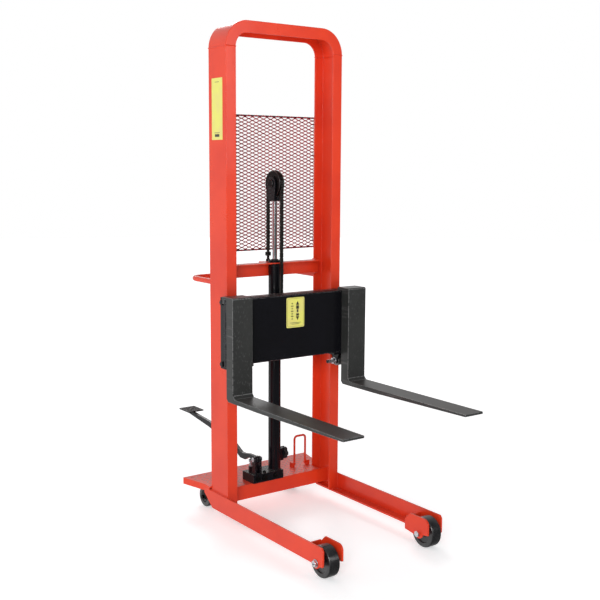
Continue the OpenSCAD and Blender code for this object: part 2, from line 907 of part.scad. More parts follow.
module roller_axles() {
  inner = bracket_out - bracket_t - 6;
  outer = roller_x + roller_w / 2 + 1;
  collar = roller_x - roller_w / 2 - slide_gap - bracket_out;
  color(steel) at_mast() both_sides()
    for (z = [roller_low_z, roller_top_z])
      translate([0, roller_y, z]) {
        translate([(inner + outer) / 2, 0, 0]) rod_x(roller_axle_d, outer - inner);
        translate([bracket_out + collar / 2, 0, 0]) rod_x(roller_axle_d + 11, collar);
        translate([inner + 3, 0, 0]) rod_x(roller_axle_d + 7, 6);
      }
}

module roller(z) {
  translate([roller_x, roller_y, z])
    difference() {
      rotate([0, 90, 0]) rotate_extrude($fn = 96) polygon([
        [0, -roller_w / 2], [roller_d / 2 - 2, -roller_w / 2], [roller_d / 2, -roller_w / 2 + 2],
        [roller_d / 2, roller_w / 2 - 2], [roller_d / 2 - 2, roller_w / 2], [0, roller_w / 2]
      ]);
      rod_x(roller_axle_d + 2 * pin_gap, roller_w + 2);
    }
}

module roller_top_left() {
  color(steel) at_mast() mirror([1, 0, 0]) roller(roller_top_z);
}

module roller_top_right() {
  color(steel) at_mast() roller(roller_top_z);
}

module roller_low_left() {
  color(steel) at_mast() mirror([1, 0, 0]) roller(roller_low_z);
}

module roller_low_right() {
  color(steel) at_mast() roller(roller_low_z);
}

module wear_pads() {
  t = side_in - half_w - slide_gap;
  color(charcoal) at_mast() both_sides()
    for (z = [side_z + 4, plate_top_z - 30])
      translate([side_in - t, -2, z]) cube([t, 21, 26]);
}

module front_chain_anchor() {
  y = cyl_y - sheave_r;
  color(steel) at_mast() {
    difference() {
      translate([-11, plate_back, anchor_z - 40]) cube([22, y + 9 - plate_back, 40]);
      translate([0, y, anchor_z - 50]) cylinder(d = stud_d + 2 * pin_gap, h = 60);
    }
    translate([0, y, 0]) chain_stud(anchor_z, anchor_z + 24, 62);
    translate([0, y, anchor_z - 48]) cylinder(d = 17, h = 8, $fn = 6);
  }
}

module guide_brackets() {
  shelf_in = guide_x - guide_w / 2 - 8 - 32;
  shelf_w = side_in - shelf_in;
  lug_t = 6;
  color(black) at_mast() both_sides() {
    translate([shelf_in, -plate_reach, plate_z - 8]) cube([shelf_w, plate_reach - 3, 8]);
    for (x = [guide_x - guide_w / 2 - slide_gap - lug_t, guide_x + guide_w / 2 + slide_gap])
      side_outline(x, lug_t)
      difference() {
        union() {
          polygon([[-44, plate_z - 8], [-3, plate_z - 8], [guide_y + 12, guide_z], [guide_y - 12, guide_z]]);
          translate([guide_y, guide_z]) circle(r = 12);
        }
        translate([guide_y, guide_z]) circle(d = guide_pin_d);
      }
  }
  inner = guide_x - guide_w / 2 - lug_t - 34;
  outer = guide_x + guide_w / 2 + lug_t + 7;
  color(steel) at_mast() both_sides() {
    translate([(inner + outer) / 2, guide_y, guide_z]) rod_x(guide_pin_d, outer - inner);
    translate([guide_x + guide_w / 2 + slide_gap + lug_t + 3, guide_y, guide_z]) hex_x(19, 6);
    translate([guide_x - guide_w / 2 - slide_gap - lug_t - 5, guide_y, guide_z]) hex_x(19, 10);
  }
}

module guide_roller() {
  translate([guide_x, guide_y, guide_z])
    difference() {
      rod_x(guide_d, guide_w);
      rod_x(guide_pin_d + 2 * pin_gap, guide_w + 2);
    }
}

module guide_roller_left() {
  color(steel) at_mast() mirror([1, 0, 0]) guide_roller();
}

module guide_roller_right() {
  color(steel) at_mast() guide_roller();
}

module carriage_label() {
  color(yellow) at_mast()
    translate([0, -plate_reach, plate_z + 110 + 53])
    rotate([90, 0, 0])
    linear_extrude(label_t)
    offset(r = 5)
    square([66, 96], center = true);
}

// ---------------------------------------------------------------- forks

module fork() {
  heel = 10;
  front = shank_back - shank_t;
  top_z = plate_top_z + 10;
  taper_y = front - blade_len * 0.25;
  lip_y = plate_back + slide_gap;
  translate([fork_edge - fork_w, 0, 0]) rotate([90, 0, 90]) linear_extrude(fork_w) polygon([
    [shank_back, blade_z - blade_t + heel], [shank_back, plate_top_z + slide_gap],
    [lip_y, plate_top_z + slide_gap], [lip_y, plate_top_z - hook_drop],
    [hook_back, plate_top_z - hook_drop], [hook_back, top_z - 3], [hook_back - 3, top_z],
    [front + 4, top_z], [front, top_z - 4], [front, blade_z + heel], [front - heel, blade_z],
    [tip_y, blade_z], [tip_y, blade_z - tip_t], [taper_y, blade_z - blade_t],
    [shank_back - heel, blade_z - blade_t]
  ]);
}

module fork_left() {
  color(charcoal) at_mast() mirror([1, 0, 0]) fork();
}

module fork_right() {
  color(charcoal) at_mast() fork();
}

mast_left();
mast_right();
mast_bow();
leg_left();
leg_right();
deck_plate();
front_beam();
crossbar();
push_handle();
guard_mesh();
guard_rods();
guard_clips();
rear_chain_anchor();
cylinder_tube();
gland_nut();
pump_block();
pump_barrel();
valve_body();
bail();
caster_plates();
front_axles();
pedal_pin();
bail_clips();
mast_label();
ram_rod();
crosshead();
sheave_pin();
chain_wrap();
chain_rear();
chain_front();
sheave();
carriage_plate();
carriage_tie();
side_plate_left();
side_plate_right();
roller_brackets();
roller_axles();
wear_pads();
front_chain_anchor();
guide_brackets();
carriage_label();
roller_top_left();
roller_top_right();
roller_low_left();
roller_low_right();
guide_roller_left();
guide_roller_right();
fork_left();
fork_right();
front_wheel_left();
front_wheel_right();
caster_fork_left();
caster_fork_right();
caster_wheel_left();
caster_wheel_right();
pedal_lever();
pedal_pad();
pump_plunger();
return_spring();
valve_knob();
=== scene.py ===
"""Looks of a foot pumped walkie stacker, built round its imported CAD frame.

Every length is in metres, in the frame of the machine: X is the width, Y runs
from the fork tips to the pedal and Z is up. Places come from the frame's own
boxes, so the pieces follow the CAD parts.
"""

from __future__ import annotations

import json
import logging
import math
import random
from collections.abc import Callable, Iterable, Sequence
from dataclasses import dataclass, field
from enum import Enum
from typing import Any

import bmesh
import bpy
from mathutils import Matrix, Vector
from mathutils.bvhtree import BVHTree

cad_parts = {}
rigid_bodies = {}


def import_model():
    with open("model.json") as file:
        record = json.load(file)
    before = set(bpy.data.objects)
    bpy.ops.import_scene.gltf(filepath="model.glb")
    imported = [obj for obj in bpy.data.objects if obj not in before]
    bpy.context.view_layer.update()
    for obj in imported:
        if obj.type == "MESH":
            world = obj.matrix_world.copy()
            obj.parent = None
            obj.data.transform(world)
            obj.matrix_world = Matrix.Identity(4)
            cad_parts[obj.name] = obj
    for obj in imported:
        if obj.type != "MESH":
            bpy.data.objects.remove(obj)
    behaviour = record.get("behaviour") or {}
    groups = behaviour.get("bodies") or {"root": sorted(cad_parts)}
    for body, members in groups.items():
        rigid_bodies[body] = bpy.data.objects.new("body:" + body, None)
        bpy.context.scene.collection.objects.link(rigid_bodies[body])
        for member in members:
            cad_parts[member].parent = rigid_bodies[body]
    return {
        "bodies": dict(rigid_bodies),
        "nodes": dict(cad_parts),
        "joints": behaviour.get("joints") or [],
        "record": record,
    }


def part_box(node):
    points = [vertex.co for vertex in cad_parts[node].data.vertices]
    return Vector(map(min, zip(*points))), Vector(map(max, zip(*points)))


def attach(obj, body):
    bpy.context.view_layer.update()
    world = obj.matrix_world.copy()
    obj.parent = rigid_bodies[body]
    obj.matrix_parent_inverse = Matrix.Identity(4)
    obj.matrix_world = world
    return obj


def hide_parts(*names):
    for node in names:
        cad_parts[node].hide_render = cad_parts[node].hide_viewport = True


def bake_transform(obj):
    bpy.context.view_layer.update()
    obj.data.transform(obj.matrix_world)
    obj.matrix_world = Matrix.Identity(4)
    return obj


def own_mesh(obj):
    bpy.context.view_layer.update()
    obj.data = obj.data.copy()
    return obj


LOG = logging.getLogger("stacker")
MM = 0.001
EDGE_MASK = "edge_wear"

Colour = tuple[float, float, float]
Point = Sequence[float]


class Slot(Enum):
    """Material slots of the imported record."""

    RED = "red_paint"
    BLACK = "black_paint"
    FORK = "fork_paint"
    ZINC = "zinc_steel"
    MACHINED = "machined_steel"
    CHAIN = "chain_steel"
    CHROME = "chrome"
    LABEL = "yellow_label"
    WHEEL = "wheel_nylon"
    KNOB = "knob_plastic"


class Body(Enum):
    """Bodies that carry pieces made here."""

    FRAME = "frame"
    RAM = "ram"
    CARRIAGE = "carriage"
    PEDAL = "pedal"
    PLUNGER = "plunger"
    KNOB = "valve_knob"


def tone(red: int, green: int, blue: int) -> Colour:
    """Turns a display colour into linear light.

    Args:
        red: Red from 0 to 255.
        green: Green from 0 to 255.
        blue: Blue from 0 to 255.

    Returns:
        The colour in linear light.
    """

    def lift(level: int) -> float:
        """Undoes the display curve for one channel."""
        share = level / 255
        return share / 12.92 if share <= 0.04045 else ((share + 0.055) / 1.055) ** 2.4

    return lift(red), lift(green), lift(blue)


# ------------------------------------------------------------------ finishes


class Signal:
    """A node's output that takes part in Python arithmetic."""

    def __init__(self, recipe: Recipe, socket: bpy.types.NodeSocket) -> None:
        """Keeps the recipe and the socket."""
        self.recipe = recipe
        self.socket = socket

    def _math(self, operation: str, left: Any, right: Any) -> Signal:
        """Adds one Math node for two values."""
        made = self.recipe.node("ShaderNodeMath", {"operation": operation}, {0: left, 1: right})
        return Signal(self.recipe, made.outputs[0])

    def __add__(self, other: Signal | float) -> Signal:
        """Adds a value."""
        return self._math("ADD", self, other)

    def __radd__(self, other: float) -> Signal:
        """Adds to a number."""
        return self._math("ADD", other, self)

    def __sub__(self, other: Signal | float) -> Signal:
        """Takes a value away."""
        return self._math("SUBTRACT", self, other)

    def __rsub__(self, other: float) -> Signal:
        """Is taken away from a number."""
        return self._math("SUBTRACT", other, self)

    def __mul__(self, other: Signal | float) -> Signal:
        """Multiplies by a value."""
        return self._math("MULTIPLY", self, other)

    def __rmul__(self, other: float) -> Signal:
        """Multiplies a number."""
        return self._math("MULTIPLY", other, self)

    def highest(self, other: Signal | float) -> Signal:
        """Keeps the larger of two values."""
        return self._math("MAXIMUM", self, other)


class Recipe:
    """The node tree of one finish, or of the room round the machine."""

    def __init__(self, owner: bpy.types.Material | bpy.types.World) -> None:
        """Starts with an empty tree.

        Args:
            owner: The material or world that the nodes belong to.
        """
        self.owner = owner
        owner.use_nodes = True
        self.tree = owner.node_tree
        self.tree.nodes.clear()

    def node(
        self,
        kind: str,
        settings: dict[str, Any] | None = None,
        values: dict[int | str, Any] | None = None,
    ) -> bpy.types.Node:
        """Adds one node.

        Args:
            kind: The node's type.
            settings: Options of the node, set before its sockets.
            values: Values or links of its input sockets.

        Returns:
            The new node.
        """
        made = self.tree.nodes.new(kind)
        for option, choice in (settings or {}).items():
            setattr(made, option, choice)
        for key, value in (values or {}).items():
            if isinstance(value, Signal):
                self.tree.links.new(value.socket, made.inputs[key])
            elif isinstance(value, tuple) and len(value) == 3 and made.inputs[key].type == "RGBA":
                made.inputs[key].default_value = (*value, 1)
            else:
                made.inputs[key].default_value = value
        return made

    def place(self, stretch: Point = (1, 1, 1)) -> Signal:
        """Gives the place on the piece, stretched along the axes.

        Args:
            stretch: Stretch along each axis.

        Returns:
            The place.
        """
        source = self.node("ShaderNodeTexCoord").outputs["Object"]
        scaled = self.node(
            "ShaderNodeVectorMath", {"operation": "MULTIPLY"}, {0: Signal(self, source), 1: tuple(stretch)}
        )
        return Signal(self, scaled.outputs[0])

    def noise(self, place: Signal, scale: float, detail: float = 2, rough: float = 0.5) -> Signal:
        """Gives smooth noise from 0 to 1.

        Args:
            place: Where the noise is read.
            scale: Waves to the metre.
            detail: Number of finer layers.
            rough: Strength of the finer layers.

        Returns:
            The noise.
        """
        made = self.node(
            "ShaderNodeTexNoise", {}, {"Vector": place, "Scale": scale, "Detail": detail, "Roughness": rough}
        )
        return Signal(self, made.outputs["Fac"])

    def cells(self, place: Signal, scale: float) -> Signal:
        """Gives the distance to the nearest cell's middle."""
        made = self.node("ShaderNodeTexVoronoi", {}, {"Vector": place, "Scale": scale})
        return Signal(self, made.outputs["Distance"])

    def band(self, value: Signal, low: float, high: float) -> Signal:
        """Turns a value into a soft mask that opens from low to high.

        Args:
            value: The value.
            low: Where the mask starts to open.
            high: Where it is fully open.

        Returns:
            The mask from 0 to 1.
        """
        made = self.node(
            "ShaderNodeMapRange",
            {"interpolation_type": "SMOOTHSTEP"},
            {"Value": value, "From Min": low, "From Max": high},
        )
        return Signal(self, made.outputs["Result"])

    def rubbed(self) -> Signal:
        """Gives the mask of the rounded edges."""
        made = self.node("ShaderNodeAttribute", {"attribute_name": EDGE_MASK})
        return Signal(self, made.outputs["Fac"])

    def facing_up(self) -> Signal:
        """Gives how far the surface faces up, from -1 to 1.

        Returns:
            The upward share of the normal.
        """
        normal = Signal(self, self.node("ShaderNodeNewGeometry").outputs["Normal"])
        split = self.node("ShaderNodeSeparateXYZ", {}, {0: normal})
        return Signal(self, split.outputs["Z"])

    def blend(self, share: Signal, first: Signal | Colour, second: Signal | Colour) -> Signal:
        """Mixes two colours.

        Args:
            share: Share of the second colour.
            first: Colour at 0.
            second: Colour at 1.

        Returns:
            The mixed colour.
        """
        made = self.node("ShaderNodeMix", {"data_type": "RGBA"}, {0: share, 6: first, 7: second})
        return Signal(self, made.outputs[2])

    def bump(self, height: Signal, depth: float, strength: float = 1.0) -> Signal:
        """Turns a height into a bent normal.

        Args:
            height: The height from 0 to 1.
            depth: What a height of 1 stands for.
            strength: How much the normal follows.

        Returns:
            The normal.
        """
        made = self.node("ShaderNodeBump", {}, {"Height": height, "Distance": depth, "Strength": strength})
        return Signal(self, made.outputs["Normal"])

    def close(self, **sockets: Any) -> bpy.types.Material:
        """Joins the surface to the output.

        Args:
            sockets: Values of the surface shader, by socket name with underscores.

        Returns:
            The finished material.
        """
        values = {key.replace("_", " "): value for key, value in sockets.items()}
        surface = self.node("ShaderNodeBsdfPrincipled", {}, values)
        self.node("ShaderNodeOutputMaterial", {}, {"Surface": Signal(self, surface.outputs[0])})
        return self.owner


@dataclass(frozen=True)
class Enamel:
    """Sprayed paint over steel, rubbed thin along its edges.

    The scales are in waves to the metre, and the masks open from their first
    value to their second.
    """

    name: str
    coat: Colour
    thin: Colour
    bare: Colour
    roughness: float
    rub: float
    peel: float = 0.25
    gloss: float = 0.5
    scuff: float = 0.0
    dust_and_top_light: float = 0.1
    shine: float = 0.5
    cloud_scale: float = 7
    speckle_scale: float = 210
    peel_scale: float = 420
    drag_scale: tuple[float, float, float] = (260, 6, 90)
    thin_mask: tuple[float, float] = (0.3, 0.75)
    drag_mask: tuple[float, float] = (0.56, 0.72)
    cloud_mask: tuple[float, float] = (0.35, 0.65)
    level_mask: tuple[float, float] = (0.6, 1.0)
    dust_and_top_light_mask: tuple[float, float] = (0.2, 0.9)
    rub_start: float = 0.78
    rub_full: float = 0.84
    thin_share: float = 0.7
    scuff_share: float = 0.6
    worn_share: float = 0.85
    cloud_rough: float = 0.1
    speckle_rough: float = 0.06
    dust_rough: float = 0.5
    worn_rough: float = 0.12
    scuff_rough: float = 0.15
    rough_middle: float = 0.08
    speckle_height: float = 0.12
    worn_height: float = 0.5
    depth: float = 0.25 * MM
    metal: float = 0.7

    def make(self) -> bpy.types.Material:
        """Builds the material.

        Returns:
            The finished material.
        """
        mix = Recipe(bpy.data.materials.new(self.name))
        place = mix.place()
        cloud = mix.noise(place, self.cloud_scale, detail=3)
        speckle = mix.noise(place, self.speckle_scale, detail=3, rough=0.65)
        worn = mix.rubbed() * mix.band(speckle, self.rub_start - self.rub, self.rub_full - self.rub)
        drag = mix.noise(mix.place(self.drag_scale), 1, detail=2)
        scuffed = mix.band(drag, *self.drag_mask) * mix.band(cloud, *self.cloud_mask) * self.scuff
        # Upward faces pale in patches towards a light grey: settled dust, and painted light on the tops.
        level = mix.band(mix.facing_up(), *self.level_mask)
        dusted_and_top_lit = level * mix.band(speckle, *self.dust_and_top_light_mask) * self.dust_and_top_light
        colour = mix.blend(mix.band(cloud, *self.thin_mask) * self.thin_share, self.coat, self.thin)
        colour = mix.blend(dusted_and_top_lit, colour, DUST_AND_TOP_LIGHT)
        colour = mix.blend(scuffed * self.scuff_share, colour, self.bare)
        colour = mix.blend(worn * self.worn_share, colour, self.bare)
        roughness = cloud * self.cloud_rough + speckle * self.speckle_rough + dusted_and_top_lit * self.dust_rough
        roughness = roughness + worn * self.worn_rough + (self.roughness - self.rough_middle)
        peel = mix.noise(place, self.peel_scale, detail=1)
        height = peel * self.peel + speckle * self.speckle_height - worn * self.worn_height
        return mix.close(
            Base_Color=colour,
            Roughness=roughness + scuffed * self.scuff_rough,
            Metallic=worn * self.metal,
            Specular_IOR_Level=self.shine,
            Normal=mix.bump(height, self.depth, strength=0.5),
            Coat_Weight=(1 - worn) * self.gloss,
            Coat_Roughness=0.08,
        )


@dataclass(frozen=True)
class Steel:
    """Bare or plated steel with its grain, haze and tarnish."""

    name: str
    colour: Colour
    tarnish: Colour
    roughness: float
    grain: tuple[float, float, float]
    stained: float = 0.3
    depth: float = 0.5
    haze_scale: float = 38
    pit_scale: float = 520
    haze_mask: tuple[float, float] = (0.52, 0.78)
    pit_mask: tuple[float, float] = (0.66, 0.8)
    polished: Colour = (0.8, 0.8, 0.8)
    polish_share: float = 0.35
    line_rough: float = 0.14
    haze_rough: float = 0.12
    stain_rough: float = 0.25
    rough_middle: float = 0.13
    pit_height: float = 0.3
    relief: float = 0.12 * MM
    dulled: float = 0.5

    def make(self) -> bpy.types.Material:
        """Builds the material.

        Returns:
            The finished material.
        """
        mix = Recipe(bpy.data.materials.new(self.name))
        place = mix.place()
        line = mix.noise(mix.place(self.grain), 1, detail=3, rough=0.6)
        haze = mix.noise(place, self.haze_scale, detail=4, rough=0.6)
        pits = mix.band(mix.noise(place, self.pit_scale, detail=2), *self.pit_mask)
        stain = (mix.band(haze, *self.haze_mask) * self.stained).highest(pits * self.stained)
        colour = mix.blend(stain, self.colour, self.tarnish)
        colour = mix.blend(mix.rubbed() * self.polish_share, colour, self.polished)
        roughness = line * self.line_rough + haze * self.haze_rough + stain * self.stain_rough
        height = line * self.depth - pits * self.pit_height
        return mix.close(
            Base_Color=colour,
            Roughness=roughness + (self.roughness - self.rough_middle),
            Metallic=1 - stain * self.dulled,
            Normal=mix.bump(height, self.relief, strength=0.5),
        )


@dataclass(frozen=True)
class Moulded:
    """Moulded plastic or resin with a rolling or handling sheen."""

    name: str
    colour: Colour
    worn: Colour
    roughness: float
    grain: float
    gloss: float = 0.15
    cloud_scale: float = 26
    nick_scale: float = 260
    cloud_mask: tuple[float, float] = (0.42, 0.75)
    nick_mask: tuple[float, float] = (0.0, 0.12)
    cloud_share: float = 0.7
    edge_share: float = 0.6
    cloud_rough: float = 0.2
    grain_rough: float = 0.1
    rough_middle: float = 0.15
    grain_height: float = 0.4
    nick_height: float = 0.5
    relief: float = 0.2 * MM

    def make(self) -> bpy.types.Material:
        """Builds the material.

        Returns:
            The finished material.
        """
        mix = Recipe(bpy.data.materials.new(self.name))
        place = mix.place()
        grain = mix.noise(place, self.grain, detail=2)
        cloud = mix.noise(place, self.cloud_scale, detail=4, rough=0.6)
        nick = mix.band(mix.cells(place, self.nick_scale), *self.nick_mask)
        clouded = mix.band(cloud, *self.cloud_mask) * self.cloud_share
        share = clouded.highest(mix.rubbed() * self.edge_share)
        roughness = cloud * self.cloud_rough + grain * self.grain_rough
        height = grain * self.grain_height + nick * self.nick_height
        colour = mix.blend(share, self.colour, self.worn)
        return mix.close(
            Base_Color=colour,
            Roughness=roughness + (self.roughness - self.rough_middle),
            Normal=mix.bump(height, self.relief, strength=0.6),
            Coat_Weight=self.gloss,
            Coat_Roughness=0.18,
        )


@dataclass(frozen=True)
class Film:
    """Printed plastic film stuck on a panel."""

    name: str
    colour: Colour
    faded: Colour
    roughness: float = 0.3
    fade_scale: float = 22
    wrinkle_scale: tuple[float, float, float] = (60, 60, 25)
    scratch_scale: tuple[float, float, float] = (900, 900, 60)
    fade_mask: tuple[float, float] = (0.3, 0.7)
    scratch_mask: tuple[float, float] = (0.68, 0.74)
    fade_rough: float = 0.12
    scratch_rough: float = 0.25
    wrinkle_height: float = 0.5
    scratch_height: float = 0.2
    relief: float = 0.2 * MM

    def make(self) -> bpy.types.Material:
        """Builds the material.

        Returns:
            The finished material.
        """
        mix = Recipe(bpy.data.materials.new(self.name))
        place = mix.place()
        fade = mix.noise(place, self.fade_scale, detail=3)
        wrinkle = mix.noise(mix.place(self.wrinkle_scale), 1, detail=2)
        scratch = mix.band(mix.noise(mix.place(self.scratch_scale), 1, detail=1), *self.scratch_mask)
        colour = mix.blend(mix.band(fade, *self.fade_mask), self.colour, self.faded)
        height = wrinkle * self.wrinkle_height - scratch * self.scratch_height
        return mix.close(
            Base_Color=colour,
            Roughness=fade * self.fade_rough + scratch * self.scratch_rough + self.roughness,
            Normal=mix.bump(height, self.relief, strength=0.5),
            Coat_Weight=0.3,
            Coat_Roughness=0.15,
        )


@dataclass(frozen=True)
class LitFloor:
    """White floor that glows softly and fades into its backdrop."""

    name: str
    colour: Colour
    cloud: Colour
    near: float = 0.42
    far: float = 0.82
    reach: tuple[float, float] = (1.2, 4.5)
    grain_scale: float = 300
    cloud_scale: float = 3

    def make(self) -> bpy.types.Material:
        """Builds the material.

        Returns:
            The finished material.
        """
        mix = Recipe(bpy.data.materials.new(self.name))
        place = mix.place()
        grain = mix.noise(place, self.grain_scale, detail=2)
        away = mix.node("ShaderNodeVectorMath", {"operation": "LENGTH"}, {0: place})
        share = mix.band(Signal(mix, away.outputs["Value"]), *self.reach)
        return mix.close(
            Base_Color=mix.blend(mix.noise(place, self.cloud_scale, detail=3), self.colour, self.cloud),
            Roughness=grain * 0.1 + 0.6,
            Emission_Color=mix.blend(share, (self.near,) * 3, (self.far,) * 3),
            Emission_Strength=1.0,
            Normal=mix.bump(grain, 0.1 * MM, 0.3),
        )


Finish = Enamel | Steel | Moulded | Film | LitFloor
# Pale grey that upward faces take in patches: dust, and painted light on the tops.
DUST_AND_TOP_LIGHT = tone(196, 176, 168)
INK = Film("label_ink", tone(22, 22, 20), tone(44, 42, 34))
FLOOR = LitFloor("studio_floor", tone(246, 246, 247), tone(240, 240, 242))
# Red paint of the tread studs, paled towards pinkish grey: worn paint, and painted highlight on the studs.
TREAD_WITH_PAINTED_HIGHLIGHT = Enamel(
    "tread_paint_painted_highlight",
    coat=tone(186, 92, 84),
    thin=tone(168, 64, 54),
    bare=tone(206, 180, 176),
    roughness=0.34,
    rub=0.45,
    dust_and_top_light=0.5,
)
RUBBER = Moulded("seal_rubber", tone(24, 24, 25), tone(40, 40, 40), 0.6, 900)
# The guard's red paint, darkened towards maroon as painted shade on the thin strands.
MESH = Enamel(
    "guard_red_painted_shade",
    coat=tone(172, 32, 48),
    thin=tone(134, 22, 34),
    bare=tone(130, 96, 94),
    roughness=0.45,
    rub=0.35,
    gloss=0.1,
)
BRIGHT = Steel("bright_zinc", tone(236, 236, 240), tone(170, 166, 158), 0.26, (120, 120, 120), 0.2)
OXIDE = Steel("black_oxide", tone(44, 43, 43), tone(30, 24, 20), 0.42, (140, 140, 140), 0.5)

FINISHES: dict[Slot, Finish] = {
    Slot.RED: Enamel(
        "red_enamel",
        coat=tone(224, 61, 30),
        thin=tone(209, 49, 26),
        bare=tone(205, 120, 104),
        roughness=0.3,
        rub=0.22,
        gloss=0.15,
        dust_and_top_light=0.04,
        shine=0.35,
    ),
    Slot.BLACK: Enamel(
        "black_enamel",
        coat=tone(14, 14, 19),
        thin=tone(9, 9, 13),
        bare=tone(96, 96, 98),
        roughness=0.22,
        rub=0.3,
        gloss=0.08,
        dust_and_top_light=0.22,
        shine=0.3,
    ),
    Slot.FORK: Enamel(
        "fork_coating",
        coat=tone(50, 51, 50),
        thin=tone(38, 39, 38),
        bare=tone(140, 140, 140),
        roughness=0.32,
        rub=0.36,
        gloss=0.05,
        scuff=0.45,
        dust_and_top_light=0.12,
        shine=0.45,
    ),
    Slot.ZINC: Steel("zinc_plate", tone(196, 198, 204), tone(132, 128, 120), 0.3, (120, 120, 120)),
    Slot.MACHINED: Steel("turned_steel", tone(150, 150, 150), tone(70, 62, 56), 0.34, (900, 40, 40), 0.5),
    Slot.CHAIN: Steel("oiled_chain", tone(72, 70, 68), tone(38, 30, 26), 0.38, (90, 90, 90), 0.6),
    Slot.CHROME: Steel(
        "hard_chrome", tone(222, 222, 226), tone(170, 170, 172), 0.14, (700, 700, 6), stained=0.15, depth=0.2
    ),
    Slot.LABEL: Film("yellow_film", tone(226, 224, 104), tone(222, 212, 120)),
    Slot.WHEEL: Moulded("wheel_resin", tone(24, 24, 26), tone(66, 66, 68), 0.3, 700, 0.6),
    Slot.KNOB: Moulded("knob_plastic", tone(24, 24, 26), tone(52, 52, 54), 0.4, 900),
}


# ------------------------------------------------------------------ mesh work

SHARP_ANGLE = math.radians(34)
SHADED_ANGLE = math.radians(40)
FLAT_ANGLE = math.radians(0.6)
SAME_POINT = 0.01 * MM
PRINT_DEPTH = 0.12 * MM
BEAD_SIDES = 7
WIDTH_AXIS = Vector((1, 0, 0))
LENGTH_AXIS = Vector((0, 1, 0))
UP_AXIS = Vector((0, 0, 1))
FACING_LEFT = Matrix(((0, 0, -1, 0), (1, 0, 0, 0), (0, 1, 0, 0), (0, 0, 0, 1)))
FACING_FRONT = Matrix(((1, 0, 0, 0), (0, 0, -1, 0), (0, 1, 0, 0), (0, 0, 0, 1)))

Pairs = Sequence[tuple[float, float]]


def in_mm(pairs: Iterable[tuple[float, float]]) -> list[tuple[float, float]]:
    """Turns pairs of millimetres into metres."""
    return [(first * MM, second * MM) for first, second in pairs]


def rectangle(left: float, foot: float, right: float, top: float) -> list[tuple[float, float]]:
    """Gives the corners of an upright rectangle."""
    return [(left, foot), (right, foot), (right, top), (left, top)]


def ring(centre: Point, across: Vector, up: Vector, radius: float, sides: int) -> list[Vector]:
    """Gives the points of a circle.

    Args:
        centre: Middle of the circle.
        across: Direction of angle 0.
        up: Direction of a quarter turn.
        radius: Radius of the circle.
        sides: Number of points.

    Returns:
        The points in order.
    """
    angles = [math.tau * k / sides for k in range(sides)]
    return [Vector(centre) + radius * (math.cos(a) * across + math.sin(a) * up) for a in angles]


def square_to(axis: Vector) -> tuple[Vector, Vector]:
    """Gives two directions that are square to an axis and to each other.

    Args:
        axis: The axis, of length 1.

    Returns:
        The two directions.
    """
    helper = Vector((0, 0, 1)) if abs(axis.z) < 0.9 else Vector((0, 1, 0))
    across = helper.cross(axis).normalized()
    return across, axis.cross(across).normalized()


